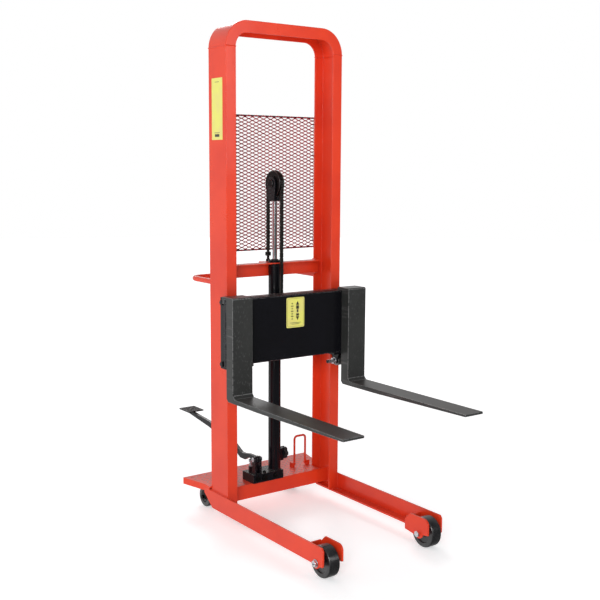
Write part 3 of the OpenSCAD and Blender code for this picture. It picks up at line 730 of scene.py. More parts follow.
class Shape:
    """A mesh under construction."""

    HEAD_CHAMFER = 0.07
    HEAD_SLOPE = 1.4
    THREAD_STEPS = 14
    THREAD_RIDGE = 0.32
    BEAD_STEP = 0.7

    def __init__(self) -> None:
        """Starts an empty mesh."""
        self.mesh = bmesh.new()

    def loft(self, rings: Sequence[Sequence[Vector]], capped: bool = True, looped: bool = False) -> Shape:
        """Joins rings of points with quads.

        Args:
            rings: Rings with the same number of points.
            capped: Closes the two ends.
            looped: Joins the last ring to the first.

        Returns:
            This shape.
        """
        made = [[self.mesh.verts.new(p) for p in row] for row in rings]
        pairs = list(zip(made, made[1:])) + ([(made[-1], made[0])] if looped else [])
        for low, high in pairs:
            for k in range(len(low)):
                after = (k + 1) % len(low)
                self.mesh.faces.new((low[k], low[after], high[after], high[k]))
        if capped and not looped:
            self.mesh.faces.new(list(reversed(made[0])))
            self.mesh.faces.new(made[-1])
        return self

    def lathe(self, centre: Point, axis: Point, profile: Pairs, sides: int = 32) -> Shape:
        """Turns a profile about an axis.

        Args:
            centre: Where the axis starts.
            axis: Direction of the axis.
            profile: Pairs of a distance along the axis and a radius.
            sides: Points round the axis.

        Returns:
            This shape.
        """
        along = Vector(axis).normalized()
        across, up = square_to(along)
        return self.loft([ring(Vector(centre) + along * d, across, up, r, sides) for d, r in profile])

    def hollow(self, centre: Point, axis: Point, profile: Pairs, sides: int = 32) -> Shape:
        """Turns a closed section about an axis, so that its middle stays open.

        Args:
            centre: Where the axis starts.
            axis: Direction of the axis.
            profile: Corners of the section, as a distance along the axis and a radius.
            sides: Points round the axis.

        Returns:
            This shape.
        """
        along = Vector(axis).normalized()
        across, up = square_to(along)
        rows = [ring(Vector(centre) + along * d, across, up, r, sides) for d, r in profile]
        return self.loft(rows, capped=False, looped=True)

    def tube(
        self,
        path: Sequence[Point],
        radius: Callable[[float], float] | float,
        sides: int = 8,
        looped: bool = False,
    ) -> Shape:
        """Runs a round section along a path.

        Args:
            path: Points of the path.
            radius: The radius, or the radius at a share of the path.
            sides: Points round the section.
            looped: Joins the end of the path to its start.

        Returns:
            This shape.
        """
        points = [Vector(p) for p in path]
        last = len(points) - 1
        rows = []
        across = None
        for k, point in enumerate(points):
            before = points[k - 1] if k or looped else points[0]
            after = points[(k + 1) % len(points)] if k < last or looped else points[last]
            along = (after - before).normalized()
            if across is None:
                across = square_to(along)[0]
            else:
                across = (across - across.dot(along) * along).normalized()
            size = radius(k / last) if callable(radius) else radius
            rows.append(ring(point, across, along.cross(across), size, sides))
        return self.loft(rows, capped=not looped, looped=looped)

    def prism(self, outline: Sequence[Point], place: Matrix, depth: float) -> Shape:
        """Raises a flat outline.

        Args:
            outline: Points in the plane of the place.
            place: Where the plane lies, with its third axis along the depth.
            depth: How far it is raised.

        Returns:
            This shape.
        """
        rows = [[place @ Vector((u, v, d)) for u, v in outline] for d in (0, depth)]
        return self.loft(rows)

    def hexagon(self, centre: Point, axis: Point, across_flats: float, height: float) -> Shape:
        """Adds a hexagon head with chamfered corners.

        Args:
            centre: Middle of the face it sits on.
            axis: Direction that it stands in.
            across_flats: Width across its flats.
            height: Height of the head.

        Returns:
            This shape.
        """
        along = Vector(axis).normalized()
        across, up = square_to(along)
        reach = across_flats / math.sqrt(3)
        chamfer = across_flats * self.HEAD_CHAMFER
        rows = [
            ring(Vector(centre) + along * d, across, up, r, 6)
            for d, r in ((0, reach), (height - chamfer, reach), (height, reach - chamfer * self.HEAD_SLOPE))
        ]
        return self.loft(rows)

    def pin(
        self,
        centre: Point,
        axis: Point,
        radius: float,
        tip: float,
        length: float,
        chamfer: float,
        sides: int,
    ) -> Shape:
        """Adds a round pin with chamfered ends.

        Args:
            centre: Where the pin starts.
            axis: Direction of the pin.
            radius: Radius of the pin.
            tip: Radius of its ends.
            length: Length of the pin.
            chamfer: Length of a chamfer.
            sides: Points round the pin.

        Returns:
            This shape.
        """
        profile = [(0, tip), (chamfer, radius), (length - chamfer, radius), (length, tip)]
        return self.lathe(centre, axis, profile, sides)

    def thread(self, centre: Point, axis: Point, radius: float, length: float, pitch: float) -> Shape:
        """Winds a thread's ridge round a shank.

        Args:
            centre: Where the thread starts.
            axis: Direction of the shank.
            radius: Radius of the ridge.
            length: Length of the thread.
            pitch: Rise of one turn.

        Returns:
            This shape.
        """
        along = Vector(axis).normalized()
        across, up = square_to(along)
        steps = self.THREAD_STEPS
        count = int(length / pitch * steps)
        path = []
        for k in range(count + 1):
            angle = math.tau * k / steps
            path.append(
                Vector(centre)
                + along * (pitch * k / steps)
                + radius * (math.cos(angle) * across + math.sin(angle) * up)
            )
        return self.tube(path, pitch * self.THREAD_RIDGE, 4)

    def bead(self, path: Sequence[Point], radius: float, seed: int = 1) -> Shape:
        """Lays a rippled weld bead along a path.

        Args:
            path: Corners of the path.
            radius: Radius of the bead.
            seed: Start of the random ripple.

        Returns:
            This shape.
        """
        chance = random.Random(seed)
        step = radius * self.BEAD_STEP
        points: list[Vector] = []
        for a, b in zip(path, path[1:]):
            start, end = Vector(a), Vector(b)
            count = max(2, int((end - start).length / step))
            points += [start.lerp(end, k / count) for k in range(count)]
        points.append(Vector(path[-1]))
        swell = [radius * (0.86 + 0.2 * (k % 3) / 2 + 0.1 * chance.random()) for k in range(len(points))]
        return self.tube(points, lambda share: swell[round(share * (len(points) - 1))], BEAD_SIDES)

    def ring_bead(self, loop: Sequence[Vector], radius: float) -> Shape:
        """Lays a rippled weld bead round a closed loop.

        Args:
            loop: Points of the loop.
            radius: Radius of the bead.

        Returns:
            This shape.
        """
        swell = [radius * (0.85 + 0.15 * (k % 2)) for k in range(len(loop))]
        last = len(loop) - 1
        return self.tube(loop, lambda share: swell[round(share * last)], BEAD_SIDES, looped=True)


def soften(bm: bmesh.types.BMesh, width: float) -> None:
    """Rounds the sharp edges of a mesh and marks the new strips as worn.

    Args:
        bm: The mesh.
        width: Width of the rounding.
    """
    sharp = [e for e in bm.edges if len(e.link_faces) == 2 and e.calc_face_angle() > SHARP_ANGLE]
    if not sharp or not width:
        return
    made = bmesh.ops.bevel(
        bm,
        geom=sharp,
        offset=width,
        offset_type="OFFSET",
        segments=2,
        profile=0.5,
        affect="EDGES",
        clamp_overlap=True,
    )
    mask = bm.loops.layers.float.new(EDGE_MASK)
    for face in made["faces"]:
        for corner in face.loops:
            corner[mask] = 1.0


@dataclass
class Shop:
    """Turns meshes into pieces that ride on the machine's bodies."""

    frame: dict[str, Any]
    finishes: dict[str, bpy.types.Material] = field(default_factory=dict)
    bodies: dict[str, str] = field(default_factory=dict)

    def __post_init__(self) -> None:
        """Looks up the body of each node."""
        for body, nodes in self.frame["record"]["behaviour"]["bodies"].items():
            self.bodies.update({node: body for node in nodes})

    def finish(self, maker: Finish) -> bpy.types.Material:
        """Gives a finish's material, made on first use.

        Args:
            maker: The finish.

        Returns:
            Its material.
        """
        if maker.name not in self.finishes:
            self.finishes[maker.name] = maker.make()
        return self.finishes[maker.name]

    def add(
        self,
        shape: Shape,
        name: str,
        slot: Slot,
        body: str,
        stands_for: Iterable[str] = (),
        maker: Finish | None = None,
        rides: bool = True,
    ) -> bpy.types.Object:
        """Closes a mesh into a piece.

        Args:
            shape: The mesh.
            name: Name of the piece.
            slot: Slot of the record that it takes its finish from.
            body: Body that it rides on.
            stands_for: CAD nodes that it replaces.
            maker: A finish of its own, in place of the slot's.
            rides: False for a piece that is left off its body.

        Returns:
            The piece.
        """
        bmesh.ops.recalc_face_normals(shape.mesh, faces=shape.mesh.faces)
        data = bpy.data.meshes.new(name)
        shape.mesh.to_mesh(data)
        shape.mesh.free()
        data.shade_smooth()
        data.set_sharp_from_angle(angle=SHADED_ANGLE)
        data.materials.append(self.finish(maker or FINISHES[slot]))
        piece = bpy.data.objects.new(name, data)
        bpy.context.scene.collection.objects.link(piece)
        weighted = piece.modifiers.new("even_shading", "WEIGHTED_NORMAL")
        weighted.keep_sharp = True
        if rides:
            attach(piece, body)
        if stands_for:
            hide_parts(*stands_for)
        LOG.info("%s: %d faces on %s", name, len(data.polygons), body)
        return piece

    def dress(
        self, node: str, slot: Slot, edge: float = 0.8, maker: Finish | None = None
    ) -> bpy.types.Object:
        """Gives a CAD node rounded edges and its finish.

        Args:
            node: Name of the node.
            slot: Slot of its finish.
            edge: Width of the rounding in millimetres.
            maker: A finish of its own, in place of the slot's.

        Returns:
            The piece that stands for the node.
        """
        shape = Shape()
        shape.mesh.from_mesh(self.frame["nodes"][node].data)
        mesh = shape.mesh
        bmesh.ops.remove_doubles(mesh, verts=mesh.verts, dist=SAME_POINT)
        bmesh.ops.dissolve_limit(mesh, angle_limit=FLAT_ANGLE, verts=mesh.verts, edges=mesh.edges)
        soften(mesh, edge * MM)
        return self.add(shape, f"{node}_finished", slot, self.bodies[node], [node], maker)

    def dress_all(self, nodes: Iterable[str], slot: Slot, edge: float = 0.8) -> None:
        """Dresses several nodes alike."""
        for node in nodes:
            self.dress(node, slot, edge)


def pair(stem: str) -> list[str]:
    """Gives the names of a left and a right node."""
    return [f"{stem}_left", f"{stem}_right"]


def middle(node: str) -> Vector:
    """Gives the middle of a node's box."""
    low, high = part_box(node)
    return (low + high) / 2


# ------------------------------------------------------------------ sub-assemblies


@dataclass
class Mast:
    """Bent channel mast with its crossbar, push handle and strip label."""

    seam_bead: float = 1.8 * MM
    handle_bead: float = 2.6 * MM
    plate_bead: float = 2.2 * MM
    bead_sink: float = 0.5 * MM
    bead_inset: float = 2 * MM
    end_plate: float = 6 * MM
    web_back: float = 58 * MM
    web_foot: float = 12 * MM
    label_lines: tuple[tuple[float, float, float], ...] = ((10, 9, 0.42), (23, 1.4, 0.5), (190, 1.4, 0.4))

    def build(self, shop: Shop) -> None:
        """Builds the mast.

        Args:
            shop: Where the pieces are made.
        """
        shop.dress_all([*pair("mast"), "mast_bow"], Slot.RED, edge=1.3)
        shop.dress("crossbar", Slot.RED, edge=0.7)
        shop.dress("push_handle", Slot.RED, edge=0.4)
        shop.dress("mast_label", Slot.LABEL, edge=0.15)
        self.seams(shop)
        self.handle_welds(shop)
        self.crossbar_welds(shop)
        self.label_marks(shop)

    def seams(self, shop: Shop) -> None:
        """Lays the bead where each upright meets the bent top.

        Args:
            shop: Where the pieces are made.
        """
        shape = Shape()
        for index, node in enumerate(pair("mast")):
            low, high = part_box(node)
            outer, inner = (low.x, high.x) if high.x < 0 else (high.x, low.x)
            path = [(x, y, high.z) for x, y in rectangle(inner, low.y, outer, high.y)]
            shape.bead(path, self.seam_bead, seed=index)
        shop.add(shape, "bow_seam_beads", Slot.RED, Body.FRAME.value)

    def handle_welds(self, shop: Shop) -> None:
        """Rings the push handle's feet with weld.

        Args:
            shop: Where the pieces are made.
        """
        low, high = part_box("push_handle")
        rod = (high.z - low.z) / 2
        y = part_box("mast_left")[1].y + self.handle_bead * 0.4
        shape = Shape()
        for x in (low.x + rod, high.x - rod):
            loop = ring((x, y, (low.z + high.z) / 2), WIDTH_AXIS, UP_AXIS, rod, 40)
            shape.ring_bead(loop, self.handle_bead)
        shop.add(shape, "handle_foot_welds", Slot.RED, Body.FRAME.value)

    def crossbar_welds(self, shop: Shop) -> None:
        """Welds the crossbar's end plates to the channels.

        Args:
            shop: Where the pieces are made.
        """
        low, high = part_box("crossbar")
        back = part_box("mast_left")[1].y
        shape = Shape()
        for side in (-1, 1):
            x = side * (high.x - self.bead_sink)
            path = [(x, back, low.z + self.bead_inset), (x, back, high.z - self.bead_inset)]
            shape.bead(path, self.plate_bead, seed=side + 5)
            face = side * (high.x - self.end_plate)
            rear = low.y + self.web_back
            path = [(face, rear, low.z + self.web_foot), (face, rear, high.z)]
            shape.bead(path, self.plate_bead, seed=side + 8)
        shop.add(shape, "crossbar_welds", Slot.RED, Body.FRAME.value)

    def label_marks(self, shop: Shop) -> None:
        """Prints plain marks on the strip label.

        Args:
            shop: Where the pieces are made.
        """
        low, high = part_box("mast_label")
        place = Matrix.Translation((low.x, low.y, low.z)) @ FACING_LEFT
        wide = high.y - low.y
        shape = Shape()
        for lift, tall, share in self.label_lines:
            start = wide * (1 - share) / 2
            outline = rectangle(start, lift * MM, wide - start, (lift + tall) * MM)
            shape.prism(outline, place, PRINT_DEPTH)
        shop.add(shape, "mast_label_marks", Slot.LABEL, Body.FRAME.value, maker=INK)


@dataclass
class Base:
    """Straddle legs, tread deck, front beam and the wire bail."""

    stud_length: float = 21 * MM
    stud_width: float = 6.4 * MM
    stud_height: float = 1.1 * MM
    stud_pitch: float = 19 * MM
    stud_room: float = 0.56
    stud_angle: float = 45
    stud_points: int = 12
    stud_rise: Pairs = ((-0.1, 1.0), (0.55, 0.82), (0.9, 0.56), (1.0, 0.28))
    stud_bulge: tuple[float, float] = (0.8, 1.4)
    probe_height: float = 0.3
    same_level: float = 0.1 * MM
    bead: float = 2.6 * MM
    bead_lift: float = 0.6 * MM
    corner_bead: float = 0.8
    web: float = 6 * MM

    def build(self, shop: Shop) -> None:
        """Builds the base.

        Args:
            shop: Where the pieces are made.
        """
        shop.dress_all(pair("leg"), Slot.RED, edge=1.0)
        shop.dress("deck_plate", Slot.RED, edge=0.9)
        shop.dress("front_beam", Slot.RED, edge=1.0)
        shop.dress("bail", Slot.RED, edge=0.3)
        shop.dress("bail_clips", Slot.RED, edge=0.6)
        self.tread(shop)
        self.welds(shop)

    def tread(self, shop: Shop) -> None:
        """Raises the tread pattern on the open part of the deck.

        Args:
            shop: Where the pieces are made.
        """
        low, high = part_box("deck_plate")
        blockers = ["deck_plate", "pump_block", "cylinder_tube", "bail_clips", *pair("mast"), "front_beam"]
        trees = [self.tree_of(shop, node) for node in blockers]
        across = int((high.x - low.x) / self.stud_pitch)
        along = int((high.y - low.y) / self.stud_pitch)
        shape = Shape()
        for i in range(across + 1):
            for j in range(along + 1):
                x = low.x + (i + 0.5) * self.stud_pitch
                y = low.y + (j + 0.5) * self.stud_pitch
                angle = math.radians(self.stud_angle if (i + j) % 2 else -self.stud_angle)
                reach = Vector((math.cos(angle), math.sin(angle))) * self.stud_length * self.stud_room
                ends = [(x + reach.x, y + reach.y), (x - reach.x, y - reach.y), (x, y)]
                if all(self.bare(trees, u, v, high.z) for u, v in ends):
                    self.stud(shape, (x, y, high.z), angle)
        shop.add(shape, "deck_tread", Slot.RED, Body.FRAME.value, maker=TREAD_WITH_PAINTED_HIGHLIGHT)

    def tree_of(self, shop: Shop, node: str) -> BVHTree:
        """Gives a search tree of a node's mesh."""
        data = shop.frame["nodes"][node].data
        return BVHTree.FromPolygons([v.co for v in data.vertices], [list(p.vertices) for p in data.polygons])

    def bare(self, trees: Sequence[BVHTree], x: float, y: float, top: float) -> bool:
        """Says whether nothing stands on the deck at a place.

        Args:
            trees: Search trees, the deck's first.
            x: Place across the deck.
            y: Place along the deck.
            top: Height of the deck's face.

        Returns:
            True where the deck's face is open.
        """
        start, down = Vector((x, y, top + self.probe_height)), -UP_AXIS
        deck = trees[0].ray_cast(start, down)[0]
        if deck is None or abs(deck.z - top) > self.same_level:
            return False
        hits = [tree.ray_cast(start, down)[0] for tree in trees[1:]]
        return all(hit is None or hit.z < top - self.same_level for hit in hits)

    def stud(self, shape: Shape, place: Point, angle: float) -> None:
        """Adds one lens shaped stud.

        Args:
            shape: The mesh.
            place: Middle of the stud on the deck.
            angle: Direction of its length.
        """
        along = Vector((math.cos(angle), math.sin(angle), 0))
        aside = Vector((-math.sin(angle), math.cos(angle), 0))
        blunt, pointed = self.stud_bulge
        rows = []
        for lift, size in self.stud_rise:
            row = []
            for k in range(self.stud_points):
                turn = math.tau * k / self.stud_points
                reach = math.copysign(abs(math.cos(turn)) ** blunt, math.cos(turn))
                breadth = math.copysign(abs(math.sin(turn)) ** pointed, math.sin(turn))
                row.append(
                    Vector(place)
                    + along * (reach * size * self.stud_length / 2)
                    + aside * (breadth * size * self.stud_width / 2)
                    + Vector((0, 0, lift * self.stud_height))
                )
            rows.append(row)
        shape.loft(rows)

    def welds(self, shop: Shop) -> None:
        """Welds the uprights, the beam and the wheel cheeks to the legs.

        Args:
            shop: Where the pieces are made.
        """
        shape = Shape()
        beam_low, beam_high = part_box("front_beam")
        for side, mast, leg in zip((-1, 1), pair("mast"), pair("leg")):
            low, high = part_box(mast)
            face = low.x if side < 0 else high.x
            flange = high.x if side < 0 else low.x
            foot, top = low.z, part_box(leg)[1].z
            x = face + side * self.bead_lift
            shape.bead([(x, low.y, top), (x, high.y, top)], self.bead, seed=side + 2)
            inner = face - side * self.web
            path = [(inner, beam_low.y, beam_low.z), (inner, beam_low.y, beam_high.z)]
            shape.bead(path, self.bead, seed=side + 4)
            shape.bead([(face, low.y, foot), (flange, low.y, foot)], self.bead, seed=side + 6)
            shape.bead([(face, low.y, foot), (face, low.y, top)], self.bead * self.corner_bead, seed=side + 9)
        shop.add(shape, "base_welds", Slot.RED, Body.FRAME.value)


@dataclass
class Guard:
    """Expanded mesh guard with its wires and clips."""

    long_way: float = 30.5 * MM
    short_way: float = 12.7 * MM
    strand: float = 3.3 * MM
    overlap: float = 0.4
    knuckle: float = 0.16

    def build(self, shop: Shop) -> None:
        """Builds the guard.

        Args:
            shop: Where the pieces are made.
        """
        shop.dress("guard_rods", Slot.BLACK, edge=0.3)
        shop.dress("guard_clips", Slot.ZINC, edge=0.4, maker=BRIGHT)
        self.expanded_sheet(shop)

    def expanded_sheet(self, shop: Shop) -> None:
        """Weaves the sheet from zigzag strands that meet at their knuckles.

        Args:
            shop: Where the pieces are made.
        """
        low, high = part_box("guard_mesh")
        columns = round((high.x - low.x) / self.long_way)
        rows = round((high.z - low.z) / self.short_way)
        wave = (high.x - low.x) / columns
        half, thick = self.strand / 2, (high.y - low.y) / 2
        rise = (high.z - low.z - (1 + self.overlap) * half) / rows / 2
        y = (low.y + high.y) / 2
        shape = Shape()
        for row in range(2 * rows):
            foot = low.z + row * rise
            peak_first = row % 2 == 0
            height = rise - (1 - self.overlap) * half
            points = self.zigzag(low.x, wave, columns, foot + half, height, peak_first)
            section = [(-thick, -half), (thick, -half), (thick, half), (-thick, half)]
            shape.loft([[Vector((x, y + d, z + h)) for d, h in section] for x, z in points])
        shop.add(shape, "expanded_guard", Slot.BLACK, Body.FRAME.value, ["guard_mesh"], MESH)

    def zigzag(
        self, start: float, wave: float, count: int, base: float, height: float, peak_first: bool
    ) -> list[tuple[float, float]]:
        """Gives the corners of one strand.

        Args:
            start: Where the strand starts across the guard.
            wave: Length of one wave.
            count: Number of waves.
            base: Height of the strand's foot.
            height: Rise of a wave.
            peak_first: Starts at the top of a wave.

        Returns:
            Pairs of a place across and a height.
        """
        flat = self.knuckle / 2
        levels = (height, 0) if peak_first else (0, height)
        points = []
        for k in range(count):
            left = start + k * wave
            for share, level in ((0, 0), (flat, 0), (0.5 - flat, 1), (0.5 + flat, 1), (1 - flat, 0)):
                points.append((left + share * wave, base + levels[level]))
        points.append((start + count * wave, base + levels[0]))
        return points


@dataclass
class FrontWheels:
    """Load wheels on their axle bolts."""

    bore: float = 6.6 * MM
    washer: float = 13 * MM
    washer_thick: float = 1.8 * MM
    washer_edge: float = 0.4 * MM
    collar_sink: float = 1.2 * MM
    collar_deep: float = 1.0 * MM
    collar_outer: float = 11.2 * MM
    collar_edge: float = 0.5 * MM
    nipple: Pairs = (
        (0, 3.2),
        (1.2, 3.2),
        (1.3, 2.2),
        (3.0, 2.0),
        (3.6, 2.6),
        (4.6, 2.6),
        (5.4, 1.5),
        (5.8, 0.8),
    )

    def build(self, shop: Shop) -> None:
        """Builds the front wheels.

        Args:
            shop: Where the pieces are made.
        """
        shop.dress_all(pair("front_wheel"), Slot.WHEEL, edge=0.6)
        shop.dress("front_axles", Slot.ZINC, edge=0.7, maker=BRIGHT)
        axle_low, axle_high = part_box("front_axles")
        washers = Shape()
        for node in pair("front_wheel"):
            low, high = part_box(node)
            centre = (low + high) / 2
            collars = Shape()
            for side in (-1, 1):
                face = high.x if side > 0 else low.x
                self.collar(collars, (face - side * self.collar_sink, centre.y, centre.z), side)
            shop.add(collars, f"{node}_collars", Slot.MACHINED, shop.bodies[node])
            outer = 1 if centre.x > 0 else -1
            leg_low, leg_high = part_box("leg_right" if outer > 0 else "leg_left")
            wall = leg_high.x if outer > 0 else leg_low.x
            washers.hollow((wall, centre.y, centre.z), (outer, 0, 0), self.washer_section(), sides=36)
        shop.add(washers, "axle_washers", Slot.ZINC, Body.FRAME.value)
        self.nipples(shop, axle_low, axle_high)

    def washer_section(self) -> list[tuple[float, float]]:
        """Gives the section of a flat washer with rolled edges.

        Returns:
            Corners of the section, as a distance along the axis and a radius.
        """
        thick, soft = self.washer_thick, self.washer_edge
        return [
            (0, self.bore),
            (0, self.washer - soft),
            (soft, self.washer),
            (thick - soft, self.washer),
            (thick, self.washer - soft),
            (thick, self.bore),
        ]

    def collar(self, shape: Shape, centre: Point, side: int) -> None:
        """Adds a bearing collar in a wheel's face.

        Args:
            shape: The mesh.
            centre: Middle of the collar's seat.
            side: -1 for a left face, 1 for a right one.
        """
        deep, outer = self.collar_deep, self.collar_outer
        section = [
            (0, self.bore),
            (0, outer),
            (deep * 0.7, outer),
            (deep, outer - self.collar_edge),
            (deep, self.bore),
        ]
        shape.hollow(centre, (side, 0, 0), section, sides=32)

    def nipples(self, shop: Shop, low: Vector, high: Vector) -> None:
        """Puts a grease nipple in the end of each axle bolt.

        Args:
            shop: Where the pieces are made.
            low: Lowest corner of the axle bolts.
            high: Highest corner of the axle bolts.
        """
        shape = Shape()
        y, z = (low.y + high.y) / 2, (low.z + high.z) / 2
        for side, face in ((-1, low.x), (1, high.x)):
            shape.lathe((face, y, z), (side, 0, 0), in_mm(self.nipple), sides=16)
        shop.add(shape, "grease_nipples", Slot.ZINC, Body.FRAME.value)


@dataclass
class Casters:
    """Swivel casters under the deck."""

    recess: float = 1.1 * MM
    collar: Pairs = ((0, 5.0), (0, 8.2), (0.7, 8.4), (1.0, 7.8), (1.0, 5.0))

    def build(self, shop: Shop) -> None:
        """Builds the casters.

        Args:
            shop: Where the pieces are made.
        """
        shop.dress("caster_plates", Slot.ZINC, edge=0.5)
        for node in pair("caster_fork"):
            shop.dress(node, Slot.ZINC, edge=0.6, maker=OXIDE)
        shop.dress_all(pair("caster_wheel"), Slot.WHEEL, edge=0.6)
        for node in pair("caster_wheel"):
            low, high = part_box(node)
            centre = (low + high) / 2
            shape = Shape()
            for side in (-1, 1):
                face = high.x if side > 0 else low.x
                start = (face - side * self.recess, centre.y, centre.z)
                shape.hollow(start, (side, 0, 0), in_mm(self.collar), sides=28)
            shop.add(shape, f"{node}_collars", Slot.MACHINED, shop.bodies[node])


@dataclass
class LiftCylinder:
    """Cylinder, gland and chromed rod."""

    foot_bead: float = 2.4 * MM
    bead_lift: float = 1 * MM
    wiper: Pairs = ((0, 9.2), (0, 13.5), (1.6, 13.5), (3.0, 11.0), (3.4, 9.3))

    def build(self, shop: Shop) -> None:
        """Builds the cylinder.

        Args:
            shop: Where the pieces are made.
        """
        shop.dress("cylinder_tube", Slot.BLACK, edge=0.6)
        shop.dress("gland_nut", Slot.BLACK, edge=0.5)
        shop.dress("ram_rod", Slot.CHROME, edge=0.5)
        low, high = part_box("cylinder_tube")
        radius = (high.x - low.x) / 2
        centre = middle("cylinder_tube")
        loop = ring((centre.x, centre.y, low.z + self.bead_lift), WIDTH_AXIS, LENGTH_AXIS, radius, 72)
        weld = Shape().ring_bead(loop, self.foot_bead)
        shop.add(weld, "cylinder_foot_weld", Slot.BLACK, Body.FRAME.value)
        gland_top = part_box("gland_nut")[1].z
        wiper = Shape().hollow((centre.x, centre.y, gland_top), UP_AXIS, in_mm(self.wiper), sides=48)
        shop.add(wiper, "rod_wiper", Slot.KNOB, Body.FRAME.value, maker=RUBBER)


@dataclass
class LiftChain:
    """Leaf chain over the ram's sheave, with its end studs."""

    pitch: float = 9.5 * MM
    pin: float = 1.55 * MM
    wide_plates: tuple[float, ...] = (-0.8, 0.0, 0.8)
    narrow_plates: tuple[float, ...] = (-0.4, 0.4)
    plate: float = 0.3
    waist: float = 0.72
    plate_end_steps: int = 6
    pin_tip: float = 0.8
    runs_front: int = 6
    runs_rear: int = 4
    stud_radius: float = 4.9 * MM
    stud_pitch: float = 1.5 * MM
    stud_foot: float = 0.5 * MM
    clevis: float = 16 * MM
    clevis_pin: float = 2.8 * MM
    clevis_tip: float = 2.2 * MM
    clevis_width: float = 21 * MM
    clevis_chamfer: float = 0.6 * MM
    pin_drop: float = 6 * MM
    cotter_x: float = 9.2 * MM
    cotter_wire: float = 0.5 * MM
    cotter_eye: float = 1.6 * MM
    eye_lift: float = 4.4 * MM
    cotter_leg: Pairs = ((0.5, 3.2), (0.5, 10), (2.6, 13))

    def build(self, shop: Shop) -> None:
        """Builds the chain and what holds it.

        Args:
            shop: Where the pieces are made.
        """
        shop.dress("crosshead", Slot.BLACK, edge=1.0)
        shop.dress("sheave_pin", Slot.ZINC, edge=0.6, maker=OXIDE)
        shop.dress("sheave", Slot.MACHINED, edge=0.5, maker=OXIDE)
        shop.dress("rear_chain_anchor", Slot.ZINC, edge=0.5, maker=OXIDE)
        shop.dress("front_chain_anchor", Slot.ZINC, edge=0.6, maker=OXIDE)
        self.strand(shop, "chain_front", Body.RAM, Body.CARRIAGE, self.runs_front)
        self.strand(shop, "chain_rear", Body.RAM, Body.FRAME, self.runs_rear)
        self.wrap(shop)
        self.studs(shop)

    def link(self, shape: Shape, start: Vector, end: Vector, half: float, depth: float, wide: bool) -> None:
        """Adds the plates of one link and the pin at its start.

        Args:
            shape: The mesh.
            start: Middle of the first pin.
            end: Middle of the next pin.
            half: Half of the chain's width.
            depth: Height of a plate.
            wide: Uses the outer row of plates.
        """
        along = (end - start).normalized()
        aside = WIDTH_AXIS
        through = along.cross(aside)
        outline = self.plate_outline((end - start).length, depth)
        thick = self.plate * half
        for share in self.wide_plates if wide else self.narrow_plates:
            corner = start + aside * (share * half - thick / 2)
            place = Matrix(
                (
                    (along.x, through.x, aside.x, corner.x),
                    (along.y, through.y, aside.y, corner.y),
                    (along.z, through.z, aside.z, corner.z),
                    (0, 0, 0, 1),
                )
            )
            shape.prism(outline, place, thick)
        tip, chamfer = self.pin * self.pin_tip, 0.1 * half
        shape.pin(start - aside * half, aside, self.pin, tip, 2 * half, chamfer, 8)

    def plate_outline(self, length: float, depth: float) -> list[tuple[float, float]]:
        """Gives the waisted outline of a link plate.

        Args:
            length: Distance between the two pins.
            depth: Height of the plate.

        Returns:
            Corners of the outline, from the first pin.
        """
        end = min(depth, length * 1.02) / 2
        waist = end * self.waist
        points = []
        for centre, first in ((length, -90), (0, 90)):
            for k in range(self.plate_end_steps + 1):
                angle = math.radians(first + 180 * k / self.plate_end_steps)
                points.append((centre + end * math.cos(angle), end * math.sin(angle)))
            points.append((length / 2, waist if centre else -waist))
        return points

    def strand(self, shop: Shop, node: str, top: Body, foot: Body, runs: int) -> None:
        """Builds a straight strand in runs that are not attached to a body.

        Args:
            shop: Where the pieces are made.
            node: The CAD strand that it stands for.
            top: Body at the strand's top.
            foot: Body at its foot.
            runs: Number of pieces that it is built in.
        """
        low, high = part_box(node)
        length = high.z - low.z
        count = round(length / self.pitch)
        centre, half, depth = (low + high) / 2, (high.x - low.x) / 2, high.y - low.y
        pins = [Vector((centre.x, centre.y, high.z - length * k / count)) for k in range(count + 1)]
        for run in range(runs):
            first, last = count * run // runs, count * (run + 1) // runs
            shape = Shape()
            for k in range(first, last):
                self.link(shape, pins[k], pins[k + 1], half, depth, k % 2 == 0)
            name = f"{node}_links_{run + 1}"
            piece = shop.add(shape, name, Slot.CHAIN, f"{top.value} and {foot.value}", [node], rides=False)
            start, end = self.ease_ends(first / count, last / count)
            high.z - length * start
            high.z - length * end
            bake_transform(piece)

    def ease_ends(self, first: float, last: float) -> tuple[float, float]:
        """Works out where a smooth turnover would start and end for one run to move evenly.

        Args:
            first: Share of the strand where the run starts.
            last: Share where it ends.

        Returns:
            Shares where the turnover has to start and end.
        """
        low, high = self.undo_ease(first), self.undo_ease(last)
        span = (last - first) / (high - low)
        start = first - low * span
        return start, start + span

    def undo_ease(self, share: float) -> float:
        """Finds where a smooth turnover from 0 to 1 reaches a share."""
        return 0.5 - math.sin(math.asin(1 - 2 * share) / 3)

    def wrap(self, shop: Shop) -> None:
        """Runs the links over the sheave.

        Args:
            shop: Where the pieces are made.
        """
        low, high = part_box("chain_wrap")
        front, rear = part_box("chain_front"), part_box("chain_rear")
        depth = front[1].y - front[0].y
        y0, y1 = (front[0].y + front[1].y) / 2, (rear[0].y + rear[1].y) / 2
        centre = Vector(((low.x + high.x) / 2, (y0 + y1) / 2, low.z))
        radius = (y1 - y0) / 2
        count = round(math.pi * radius / self.pitch)
        pins = []
        for k in range(count + 1):
            angle = math.pi * (1 - k / count)
            pins.append(centre + Vector((0, math.cos(angle) * radius, math.sin(angle) * radius)))
        shape = Shape()
        for k in range(count):
            self.link(shape, pins[k], pins[k + 1], (high.x - low.x) / 2, depth, k % 2 == 1)
        shop.add(shape, "chain_wrap_links", Slot.CHAIN, Body.RAM.value, ["chain_wrap"])

